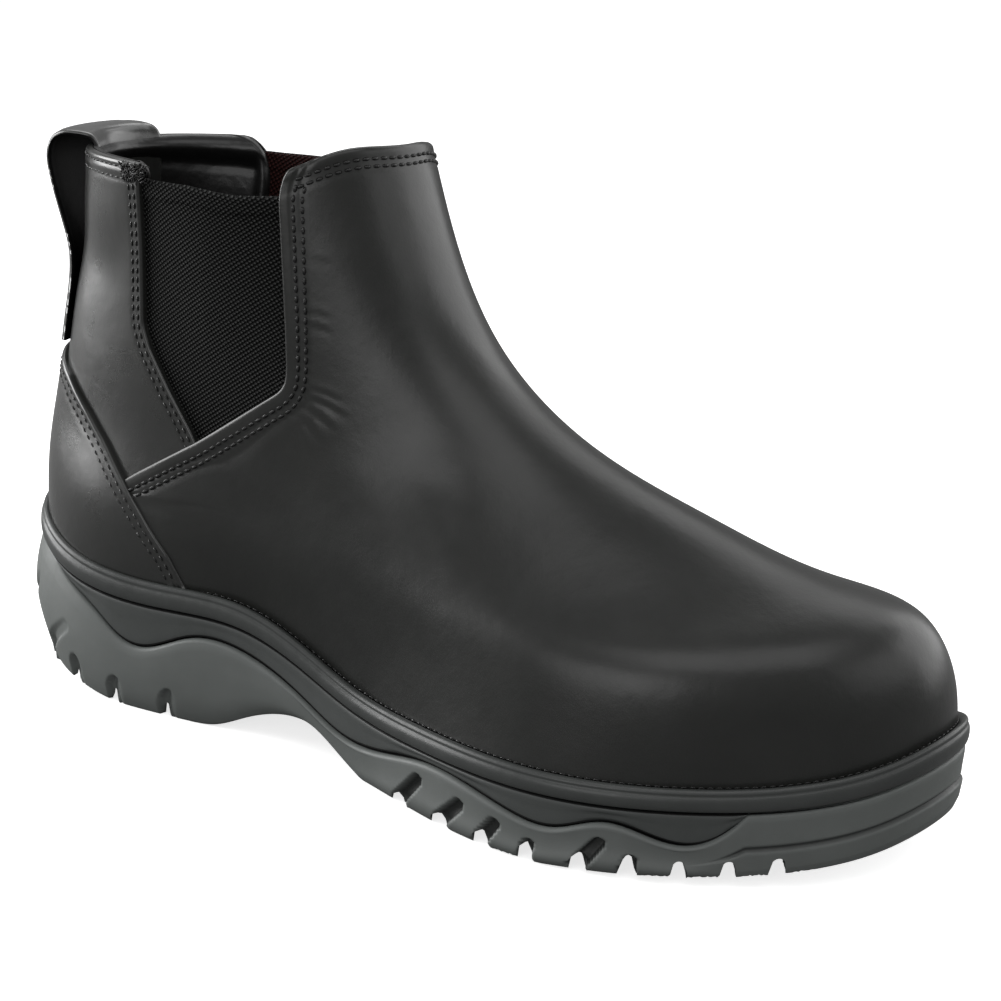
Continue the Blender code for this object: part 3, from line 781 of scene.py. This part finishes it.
def panel_rows(low, count):
    return np.concatenate([np.linspace(low, 0.965, count), COLLAR_STEPS])


def strip_depth(t, share=1.0):
    """Depth of the vamp's face, proud beside its edges."""
    return VAMP_DEPTH + (STRIP_DEPTH - VAMP_DEPTH) * share * smooth(0.72, 0.5, t)


def vamp_depth(t, points, edge, collar):
    seams = seam_depth(edge, VAMP_SEAMS, 0.36) + seam_depth(collar, COLLAR_SEAMS, 0.3)
    return strip_depth(t, smooth(22, 8, edge)) + seams + crease_depth(points)


def quarter_depth(_t, _points, edge, collar):
    bound = -0.12 * hump(collar, 3.6, 1.7) * smooth(0, 5, edge)
    seams = seam_depth(collar, QUARTER_COLLAR_SEAMS, 0.26) + seam_depth(edge, QUARTER_SEAMS)
    soft = 0.5 * (hump(collar, 33, 10) - hump(collar, 17, 9))
    return QUARTER_DEPTH + bound + seams + soft * smooth(2, 14, edge)


def quarter_edge(corner):
    return corner + tuple(spot for spot in QUARTER_EDGE if spot[1] < corner[-1][1] - 2)


VAMP_LINES = (VAMP_EDGE, VAMP_EDGE)
QUARTER_LINES = (quarter_edge(SQUARE_CORNER), quarter_edge(ROUND_CORNER))


def make_panels(vamp_material, quarter_material):
    panel("vamp", VAMP_LINES, True, panel_rows(0, 200), vamp_depth, vamp_material, 390, ("upper",))
    panel("quarters", QUARTER_LINES, False, panel_rows(0.12, 130), quarter_depth, quarter_material, 150)


def make_counter(material):
    u = np.linspace(-1, 1, 241) * COUNTER_ANGLE
    top = height_on(u, COUNTER_EDGE)
    crest = skin(u, top)
    tall = np.maximum(np.linalg.norm(crest - skin(u, np.zeros(u.shape)), axis=-1), 1)
    x, z = np.transpose(COUNTER_EDGE)
    slope = np.sqrt(1 + np.clip(np.abs(np.gradient(z) / np.gradient(x)), 0, 3) ** 2)
    slope = np.interp(crest[:, 0], x, slope)
    rows = [top * np.clip(1 - down * slope / tall, 0, 1) for down in COUNTER_STEPS]
    rows += [rows[-1] * (1 - share) for share in np.linspace(0, 1, 60)[1:]]
    t = np.stack(rows)
    distance = np.pad(COUNTER_STEPS, (0, 59), constant_values=12.0)[:, None] + np.zeros(t.shape)
    depth = COUNTER_DEPTH + roll(distance, 0.95) + seam_depth(distance, COUNTER_SEAMS, 0.14)
    depth[0] = 0.6
    grid = under(np.repeat(u[None], len(t), 0), t, depth)
    new_piece("heel_counter_panel", grid, material, ("heel_counter",), flip=True)


def lining(name, lines, across_toe, rows, share, depth_of, material):
    """Inside between two side view edges, down to the foot bed."""
    t = panel_rows(0, rows)[::-1]
    left, right, _, _ = both_edges(lines, across_toe, t)
    u = left[:, None] + (right - left)[:, None] * share
    edge = np.minimum(u - left[:, None], right[:, None] - u) * pace(left, t)[:, None]
    up = np.repeat(t[:, None], u.shape[1], 1)
    new_piece(name, under(u, up, depth_of(up, edge)), material)


def vamp_lining_depth(t, edge):
    facing = 2.0 * smooth(20, 16, edge)
    return WALL + 0.3 + facing - roll((1 - t) * 140, 1.6) - roll(edge, 1.4) * smooth(0.4, 0.5, t)


def quarter_lining_depth(t, edge):
    collar = (1 - t) * 130
    puff = np.maximum(2.2 * hump(collar, 3.6, 3.2), 1.2 * hump(edge, 2.6, 2))
    seam = -0.6 * hump(collar, 8.5, 1.2) * smooth(2, 6, edge)
    return WALL + 2.2 + puff + seam - roll(collar, 2.2) - roll(edge, 2)


def make_linings(material):
    crowded = ring_share(np.linspace(0, np.pi, 181))
    lining("vamp_lining", VAMP_LINES, True, 90, np.linspace(0, 1, 161), vamp_lining_depth, material)
    lining("quarter_lining", QUARTER_LINES, False, 110, crowded, quarter_lining_depth, material)


def make_gore(name, side, material, inner_material):
    x = np.linspace(46, 118.0, 61)
    top = np.interp(x, *np.transpose(GORE_TOP))
    foot = np.interp(x, *np.transpose(GORE_FOOT))
    rise = np.concatenate([np.linspace(0, 0.9, 60), np.linspace(0.91, 1, 12)])[:, None]
    z = foot + (top - foot) * rise
    flat = np.stack([np.repeat(x[None], len(z), 0), z], -1)
    u, t = locate(flat, side)
    middle = np.interp(x, (46, 60, 80, 104.0, 118.0), (0, 0.1, 0.45, 0.1, 0))
    face_depth = WALL + GAP - middle * smooth(0, 0.5, rise)
    band = -0.45 * smooth(5.4, 5, top - z) + roll(top - z, 0.7)
    outer = under(u, t, face_depth + band)
    inner = under(u, t, face_depth + GORE_THICK - band - 0.3)
    top_edge = np.stack([outer[-1], (outer[-1] + inner[-1]) / 2 + (0, 0, 0.25), inner[-1]])
    same = {"slot": "gore_elastic", "flip": side > 0}
    new_piece(name, outer, material, (name.replace("elastic_", "gore_"),), flat=flat, **same)
    new_piece(name + "_back", inner[::-1], inner_material, flat=flat[::-1], **same)
    new_piece(name + "_top", top_edge, material, flat=np.stack([flat[-1]] * 3), **same)


def beside_back(path, widths):
    """Points beside the upper's back, at the heights and distances of a path and at each width."""
    t = np.linspace(0.3, 1, 141)
    line = skin(np.zeros(141), t)
    at = np.interp(path[:, 0], line[:, 2], t)
    angles, heights = np.meshgrid(np.linspace(-0.25, 0.25, 81) * np.pi, at)
    pushed = under(angles, heights, -path[:, 1:] + np.zeros(angles.shape))
    points = []
    for row, z in zip(pushed, path[:, 0]):
        row[:, 2] = z
        row = row[np.argsort(row[:, 1])]
        points.append(resample(row, row[:, 1], widths))
    return np.stack(points)


def make_loop(material, inside):
    path = along(LOOP_PATH, np.linspace(0, 1, 150))
    out = -left_of(unit(np.gradient(path, axis=0))) * LOOP_THICK / 2
    half = LOOP_WIDTH / 2
    across = np.sin(np.linspace(-0.5, 0.5, 25) * np.pi)
    thick = LOOP_THICK / 2 * np.clip(1 - np.abs(across) ** 14, 0, 1) ** 0.5
    dent = 0.28 * hump(np.abs(across) * half, half - 2.6, 0.8)
    inner = beside_back(path + out, across * half)
    outer = beside_back(path - out, across * half)
    share = ((thick - dent) / LOOP_THICK)[None, :, None]
    front = outer * (0.5 + share) + inner * (0.5 - share)
    back = outer * (0.5 - share) + inner * (0.5 + share)
    ring = np.concatenate([front, back[:, ::-1]], 1)
    caps = np.repeat(ring[[0, -1]].mean(1, keepdims=True), ring.shape[1], 1)
    closed = np.concatenate([caps[:1], ring, caps[1:]], 0)
    strap = new_piece("pull_strap", closed, material, ("pull_loop",), wrap=True)
    # The strap's inner faces take the near-black textile, which also paints the shade inside the loop.
    paint(strap, inside, np.arange(len(strap.data.polygons)) % ring.shape[1] >= len(across))


def sole_ring(u, inset, height_of):
    """Ring round the sole, moved in from the plan."""
    spot = inset_plan(u, inset)
    return raised(spot, height_of(share_at(spot[:, 0])))


def fan(ring, inward):
    """Ring drawn in by a share to the boot's middle line."""
    middle_x = np.clip(ring[:, 0], 30, 285.0)
    middle = np.stack([middle_x, swing(middle_x)], -1)
    return ring[:, :2] * (1 - inward) + middle * inward


def between(low, high, share):
    return lambda at: low(at) + share * (high(at) - low(at))


def make_rand(material, shadow):
    u = ring_angles(RING_POINTS)
    width = RIM_INSET + 0.2
    profile = along(RAND_PROFILE, np.linspace(0, 1, 56))
    rows = [sole_ring(u, inward * width, between(rand_foot, rim, up)) for inward, up in profile]
    strip = new_piece("rand_strip", np.stack(rows), material, ("rand",), "rand_rubber", wrap=True)
    # The rand's lowest rows and its top rows at the upper take the near-black rubber: painted shadow in the
    # gaps there.
    paint_ends(strip, shadow, RING_POINTS, 10, 49)


def midsole_row(u, inset, shift, share):
    """Ring between the lip (0) and the flat under the rand (1), shifted up."""

    def height_of(at):
        room = np.maximum(sole_top(at) - lip(at), 0)
        return lip(at) + share * room + shift * np.clip(room / 4.5, 0, 1)

    return sole_ring(u, inset, height_of)


def make_midsole(material, shadow):
    u = ring_angles(RING_POINTS)
    top = ((9, 0.1), (3, 0.1), (1.7, 0.15), (1.3, 0.45), (1.15, 0.8), (1.1, 1.6))
    foot = ((1.7, 1.15), (1.85, 0.75), (2.2, 0.45), (3.4, 0.3), (6, 0.2))
    rows = [midsole_row(u, inset, -drop, 1) for inset, drop in top]
    rows += [midsole_row(u, 1.2 + 0.5 * share, 0, 1 - share) for share in (0.35, 0.5, 0.65, 0.8)]
    rows += [midsole_row(u, inset, rise, 0) for inset, rise in foot]
    band = new_piece("midsole_band", np.stack(rows), material, ("midsole",), "sole_rubber", wrap=True)
    # The midsole's top rows under the rand and its foot rows above the lip take the near-black rubber:
    # painted shadow in those creases.
    paint_ends(band, shadow, RING_POINTS, 3, 9)


def groove_rise(x, y):
    rise = np.zeros(x.shape)
    grooves = [(at, width, deep, SPINE_HALF) for at, width, deep, _, _ in zip(*TREAD.values())]
    grooves += [(at, width, HEEL_RISE, HEEL_SPINE) for at, width in zip(*HEEL_TREAD.values())]
    for side in (-1, 1):
        out = side * y
        for at, width, deep, inner in grooves:
            reach = abs(plan(round_side(at / LENGTH, side))[1])
            off = np.abs(x - at + CHEVRON * (reach - out)) / (width / 2)
            cut = (deep - 1.6 * np.clip(off, 0, 1) ** 2.4) * smooth(1 + 0.7 / width, 1 - 0.3 / width, off)
            rise = np.maximum(rise, cut * smooth(inner - 0.5, inner + 1, out))
    for start, end in TEETH:
        saw = TOOTH_HEIGHT * np.abs(((x - start) / TOOTH_PITCH) % 1.0 * 2 - 1)
        rise = np.maximum(rise, saw * (x > start) * (x < end) * smooth(30, 34, np.abs(y)))
    return rise


def side_recess(x, z):
    """Hollows that lean up the wall from the grooves."""
    depth = np.zeros(x.shape)
    for at, width, rise, top_x, top_z in zip(*TREAD.values()):
        low = floor(at / LENGTH) + 0.4 * rise
        if top_z <= low:
            continue
        run, across, length = beside(np.stack([x, z], -1), (at, low), (top_x, top_z))
        half = width * (0.46 - 0.12 * np.clip(run / length, 0, 1))
        reach = np.hypot(np.clip(run - length + half, 0, None), across)
        depth = np.maximum(depth, 2.8 * smooth(half + 0.15, half - 0.3, reach) * smooth(-3, -1.5, run))
    return depth


def heel_recess(x, z):
    """Hollows at the foot of the heel's wall, and slots on its back."""
    depth = np.zeros(x.shape)
    high = z - floor(share_at(x))
    half = 3.2 * np.sqrt(np.clip(1 - (np.clip(high - 4.5, 0, None) / 5.3) ** 2, 0, 1))
    for at in HEEL_TREAD["at"][1:]:
        off = x - (at + 0.4 + 0.10 * high)
        inside = smooth(-half - 0.2, -half + 0.6, off) * smooth(half + 0.1, -half * 0.6, off) * (half > 0.2)
        depth = np.maximum(depth, 2.4 * inside)
    for x0, z0, x1, z1, width, deep in zip(*HEEL_SLOTS.values()):
        run, across, length = beside(np.stack([x, z], -1), (x0, z0), (x1, z1))
        reach = np.hypot(np.maximum(np.maximum(run - length, -run), 0), across)
        fade = 1 - 0.75 * np.clip(run / length, 0, 1)
        depth = np.maximum(depth, deep * fade * smooth(width / 2 + 0.3, width / 2 - 0.6, reach))
    return depth


def wall_inset(share, up, z, x):
    """How far the wall stands in, from foot (0) to lip (1)."""
    foot, ledge, bulge, edge = (read(WALL_ROWS, row, share) for row in ("foot", "ledge", "bulge", "lip"))
    soft = np.stack([foot + 1.2, foot, (ledge + bulge) / 2, edge], -1)
    smooth_wall = (spline((0, 0.10, 0.42, 1), np.eye(4), up) * soft).sum(-1)
    step = smooth(0.44, 0.40, up)
    low_wall = np.where(up < 0.10, foot + 1.2 * (1 - up / 0.10), foot + (ledge - foot) * (up - 0.1) / 0.28)
    stepped = step * low_wall + (1 - step) * (bulge + (edge - bulge) * smooth(0.5, 1, up))
    toe = smooth(0.82, 0.86, share)
    wall = smooth_wall * (1 - toe) + (0.5 * stepped + 0.35 + 0.9 * toe_line(share, up)) * toe
    return wall + side_recess(x, z) + heel_recess(x, z)


def toe_line(share, up):
    return hump(up, 0.43, 0.035) * smooth(0.84, 0.87, share)


def make_outsole(material, shadow):
    u = ring_angles(TREAD_POINTS)
    x, y = plan(u).T
    share = share_at(x)
    base = floor(share)
    low = base + groove_rise(x, y)
    high = lip(share)
    rows = []
    hollow_shade = []
    for inset, drop in LIP_ROWS:
        spot = inset_plan(u, inset + wall_inset(share, np.ones(u.shape), high, x))
        rows.append(raised(spot, high - drop * 0.9))
        hollow_shade.append(np.zeros(u.shape))
    for up in np.concatenate([np.linspace(0.86, 0.06, 38), (0.03, 0)]):
        z = np.maximum(base + up * (high - base), low + 0.05 * up)
        true_up = np.clip((z - base) / (high - base), 0, 1)
        rows.append(raised(inset_plan(u, wall_inset(share, true_up, z, x)), z))
        # Weights of painted shade: the hollows that lean up the wall and the groove of the toe line.
        hollow_shade.append(side_recess(x, z) / 2.4 + toe_line(share, true_up))
    edge = rows[-1]
    for inward in np.linspace(0, 1, 32)[1:] ** 1.25:
        spot = fan(edge, inward)
        rows.append(raised(spot, floor(share_at(spot[:, 0])) + groove_rise(*spot.T)))
        hollow_shade.append(np.zeros(u.shape))
    made = new_piece("outsole_tread", np.stack(rows), material, ("outsole",), "sole_rubber", wrap=True)
    values = np.clip(hollow_shade, 0, 1).reshape(-1).astype(np.float32)
    made.data.attributes.new("hollow_shade", "FLOAT", "POINT").data.foreach_set("value", values)
    # The outsole's first rows, inside the lip under the midsole, take the near-black rubber: painted shadow.
    paint_ends(made, shadow, TREAD_POINTS, 2, len(rows))


def bed_top(share):
    return rand_foot(share) + BED_GAP + INSOLE_THICK


def make_insole(material):
    u = ring_angles(240)
    inset = RIM_INSET + WALL + 0.8
    edge = sole_ring(u, inset + 1, bed_top)
    rows = [sole_ring(u, inset, bed_top) - (0, 0, 2), edge]
    for inward in np.linspace(0.1, 1, 14):
        spot = fan(edge, inward)
        rows.append(raised(spot, bed_top(share_at(spot[:, 0])) - smooth(0, 0.5, inward)))
    new_piece("foot_bed", np.stack(rows), material, ("insole",), "footbed", wrap=True, flip=True)


def even_points(u, t, pitch=STITCH_PITCH):
    at = run_length(skin(u, t))
    q = np.arange(0.5 * pitch, at[-1], pitch)
    return np.interp(q, at, u), np.interp(q, at, t)


def edge_points(edge, distance, side):
    line = moved_line(rounded(edge), distance)
    return even_points(*locate(fine_line(line), side))


def capsules(spots, ways, ups, length, radius):
    around = np.arange(6) * np.pi / 3
    wide = np.cross(ways, ups)[:, None] * np.cos(around)[None, :, None]
    section = wide + ups[:, None] * np.sin(around)[None, :, None]
    rings = []
    for run, thick, lift in CAPSULE:
        centre = spots + ways * run * length + ups * lift * radius
        rings.append(centre[:, None] + radius * thick * section)
    index = np.arange(len(spots) * 36).reshape(len(spots), 6, 6)
    turned = np.roll(index, -1, 2)
    quads = np.stack([index[:, :-1], index[:, 1:], turned[:, 1:], turned[:, :-1]], -1).reshape(-1, 4)
    return np.stack(rings, 1).reshape(-1, 3), quads


def row_capsules(spots, depth, size):
    points = skin(*spots)
    up = normals(*spots)
    return capsules(points - up * depth, unit(np.gradient(points, axis=0)), up, *size)


def edge_stitches():
    rows = []
    for side in (-1, 1):
        for distance in VAMP_SEAMS:
            spots = edge_points(VAMP_EDGE[3:15], distance, side)
            rows.append(row_capsules(spots, strip_depth(spots[1])[:, None] + 0.02, VAMP_STITCH))
        for distance in QUARTER_SEAMS:
            spots = edge_points(QUARTER_EDGE[4:13], -distance, side)
            rows.append(row_capsules(spots, QUARTER_DEPTH + 0.05, QUARTER_STITCH))
    return rows


def collar_row(left, right, count, down, depth, size):
    u = np.linspace(left, right, count)
    tall = np.linalg.norm(skin(u, np.ones(count)) - skin(u, np.full(count, 0.9)), axis=-1) / 0.1
    return row_capsules(even_points(u, 1 - down / tall), depth, size)


def collar_stitches():
    rows = []
    left, right = (edge_angles(VAMP_EDGE, side, np.array([0.95]))[0][0] for side in (-1, 1))
    for down in COLLAR_SEAMS:
        rows.append(collar_row(left + 0.12, right - 0.12, 400, down, VAMP_DEPTH + 0.05, VAMP_STITCH))
    left, right = (edge_angles(QUARTER_EDGE, side, np.array([0.95]))[0][0] for side in (1, -1))
    left += 0.16 - TURN
    for down in QUARTER_COLLAR_SEAMS:
        rows.append(collar_row(left, right - 0.02, 300, down, QUARTER_DEPTH + 0.1, QUARTER_STITCH))
    return rows


def counter_stitches():
    rows = []
    u = np.linspace(-1, 1, 500) * 0.345 * np.pi
    for distance in COUNTER_SEAMS:
        t = height_on(u, moved_line(fine_line(COUNTER_EDGE), -distance))
        spots = even_points(u[t > 0.01], t[t > 0.01], COUNTER_PITCH)
        rows.append(row_capsules(spots, COUNTER_DEPTH + 0.05, COUNTER_STITCH))
    return rows


def rand_stitches():
    u = np.linspace(0, TURN, 1201)[:-1]
    line = sole_ring(u, RIM_INSET * 0.9, rim) + (0, 0, 0.05)
    at = run_length(line)
    points = resample(line, at, np.arange(0, at[-1], RAND_PITCH))
    up = np.repeat([[0, 0, 1]], len(points), 0)
    return [capsules(points, unit(np.gradient(points, axis=0)), up, *RAND_STITCH)]


def frayed_ends():
    """Loose thread ends at the outer quarter's corner."""
    random = np.random.default_rng(5)
    count = LOOSE_ENDS
    spots = np.stack([59.5 - random.uniform(0, 10, count), 170.6 - random.uniform(0, 5, count)], -1)
    u, t = locate(spots, -1)
    up = normals(u, t)
    way = random.normal(0, 1, (count, 3)) + (0.8, 0, 0.5)
    way = unit(way - up * (way * up).sum(-1)[:, None] * 0.6)
    lift = random.uniform(-2.2, 0.3, count) * (spots[:, 0] > 56) + random.uniform(-0.6, 0.2, count)
    return [capsules(skin(u, t) + up * lift[:, None], way, up, *LOOSE_END)]


def make_stitches(material):
    rows = edge_stitches() + collar_stitches() + counter_stitches() + rand_stitches() + frayed_ends()
    shifts = np.cumsum([0] + [len(points) for points, _ in rows])
    points = np.concatenate([points for points, _ in rows])
    faces = np.concatenate([quads + shift for (_, quads), shift in zip(rows, shifts)])
    dress(new_mesh("panel_stitches", points, faces, material))


def make_floor():
    made = Nodes("pale_floor", 1)
    pale = made.tint(made.noise(3, 2), grey(0.90), grey(0.92))
    glow = {"Emission_Color": (1, 1, 1, 1), "Emission_Strength": FLOOR_GLOW}
    made.finish(Base_Color=pale, Roughness=0.9, **glow)
    calm = made.add("ShaderNodeBsdfDiffuse", {"Color": (*grey(FLOOR_CALM), 1)})
    seen = made.add("ShaderNodeLightPath").outputs["Is Camera Ray"]
    mixed = made.add("ShaderNodeMixShader", {"Fac": seen, 1: calm.outputs[0], 2: made.shader.outputs[0]})
    made.put(made.tree.nodes["Material Output"], "Surface", mixed.outputs[0])
    x, y = np.meshgrid(*[np.linspace(-FLOOR_SIZE, FLOOR_SIZE, 9)] * 2)
    points = np.stack([x, y, np.full(x.shape, -0.0002)], -1).reshape(-1, 3)
    mesh = bpy.data.meshes.new("floor")
    mesh.from_pydata(points.tolist(), [], grid_quads(np.arange(81).reshape(9, 9)).tolist())
    mesh.materials.append(made.material)
    add_object("floor", mesh)


def direction(turn, rise):
    """Way from the boot at a bearing and a height in degrees."""
    turn, rise = math.radians(turn), math.radians(rise)
    return np.array((math.sin(turn) * math.cos(rise), -math.cos(turn) * math.cos(rise), math.sin(rise)))


def aim(made, across, up, back, place):
    turned = Matrix(np.stack([across, up, back], 1).tolist()).to_4x4()
    turned.translation = place
    made.matrix_world = turned


def make_lights():
    """White world that lights faintly, and soft boxes."""
    world = bpy.data.worlds.new("studio")
    world.use_nodes = True
    bpy.context.scene.world = world
    links = world.node_tree.links
    nodes = world.node_tree.nodes
    nodes["Background"].inputs["Color"].default_value = (1, 1, 1, 1)
    level = nodes.new("ShaderNodeMapRange")
    level.inputs["To Min"].default_value = WORLD_LIGHT
    links.new(nodes.new("ShaderNodeLightPath").outputs["Is Camera Ray"], level.inputs["Value"])
    links.new(level.outputs["Result"], nodes["Background"].inputs["Strength"])
    for name, (bearing, rise, size, watts) in SOFT_BOXES.items():
        light = bpy.data.lights.new(name, "AREA")
        light.shape = "RECTANGLE"
        light.size, light.size_y = size
        light.energy = watts
        away = direction(CAMERA_TURN + bearing, rise)
        side = unit(np.cross((0, 0, 1), away))
        aim(add_object(name, light), side, np.cross(away, side), away, away * LIGHT_AWAY + LIGHT_TARGET)


def make_camera():
    turn, tilt = math.radians(CAMERA_TURN), math.radians(CAMERA_ROLL)
    back = direction(CAMERA_TURN, CAMERA_RISE)
    right = np.array((math.cos(turn), math.sin(turn), 0))
    up = np.cross(back, right)
    across = math.cos(tilt) * right + math.sin(tilt) * up
    top = math.cos(tilt) * up - math.sin(tilt) * right
    data = bpy.data.cameras.new("camera")
    data.sensor_width = SENSOR
    data.lens = CAMERA_FOCAL / PICTURE * SENSOR
    data.shift_x = 0.5 - CAMERA_MIDDLE[0] / PICTURE
    data.shift_y = CAMERA_MIDDLE[1] / PICTURE - 0.5
    camera = add_object("camera", data)
    aim(camera, across, top, back, (np.array(CAMERA_TARGET) + back * CAMERA_AWAY - (*CENTRE, 0)) * MM)
    bpy.context.scene.camera = camera


def main():
    for old in list(bpy.data.objects):
        bpy.data.objects.remove(old)
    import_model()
    make_camera()
    leather = leather_material("black_leather", 0.12, 0.30, 0.38)
    back_leather = leather_material("back_leather", 0.55, 0.25, 0.33)
    # Dark and light of each weave: painted shade in the grooves and painted highlight on the knots.
    elastic = elastic_material("gore_elastic", grey(0.0004), (0.060, 0.062, 0.060))
    elastic_back = elastic_material("gore_back", (0.012, 0.003, 0.003), (0.05, 0.015, 0.013))
    make_panels(leather, back_leather)
    make_counter(back_leather)
    make_linings(lining_material())
    make_gore("elastic_lateral", -1, elastic, elastic_back)
    make_gore("elastic_medial", 1, elastic, elastic_back)
    # Near-black textile for the strap's inner face: partly its own dark colour, partly painted shade inside
    # the loop.
    weave = {"Scale": 1.6, "Detail": 2}
    tones = (grey(0.0015), grey(0.004))
    look = {"Roughness": 0.6, "Specular_IOR_Level": 0.12}
    webbing_in_painted_shade = fine_material("strap_inside", NOISE, weave, tones, 0.4, 0.0002, **look)
    make_loop(leather_material("strap_leather", 0.9, 0.26, 0.34), webbing_in_painted_shade)
    # Near-black rubber for the rows where rand, midsole and outsole meet and where the rand meets the upper:
    # painted shadow in those gaps.
    shadow = rubber_material("painted_shadow_rubber", grey(0.003), grey(0.006), 0.7)
    make_rand(rubber_material("rand_rubber", (0.040, 0.043, 0.042), (0.054, 0.058, 0.056), 0.36), shadow)
    tones = ((0.118, 0.128, 0.123), (0.146, 0.157, 0.152))
    # The last colour is the painted shade in the outsole's hollows and toe line.
    sole = rubber_material("sole_rubber", *tones, 0.5, (0.018, 0.020, 0.019))
    # Midsole rubber about half as light as the sole's: painted shade for the band recessed between the lip
    # and the rand.
    midsole = rubber_material("midsole_rubber", (0.058, 0.063, 0.061), (0.074, 0.080, 0.078), 0.5)
    make_midsole(midsole, shadow)
    make_outsole(sole, shadow)
    tones = ((0.010, 0.010, 0.011), (0.022, 0.022, 0.024))
    textile = fine_material("footbed_textile", CELLS, {"Scale": 1.1}, tones, 0.6, 0.0003, Roughness=0.85)
    make_insole(textile)
    make_stitches(thread_material())
    make_floor()
    make_lights()
    bpy.context.scene.view_settings.view_transform = "Standard"


main()
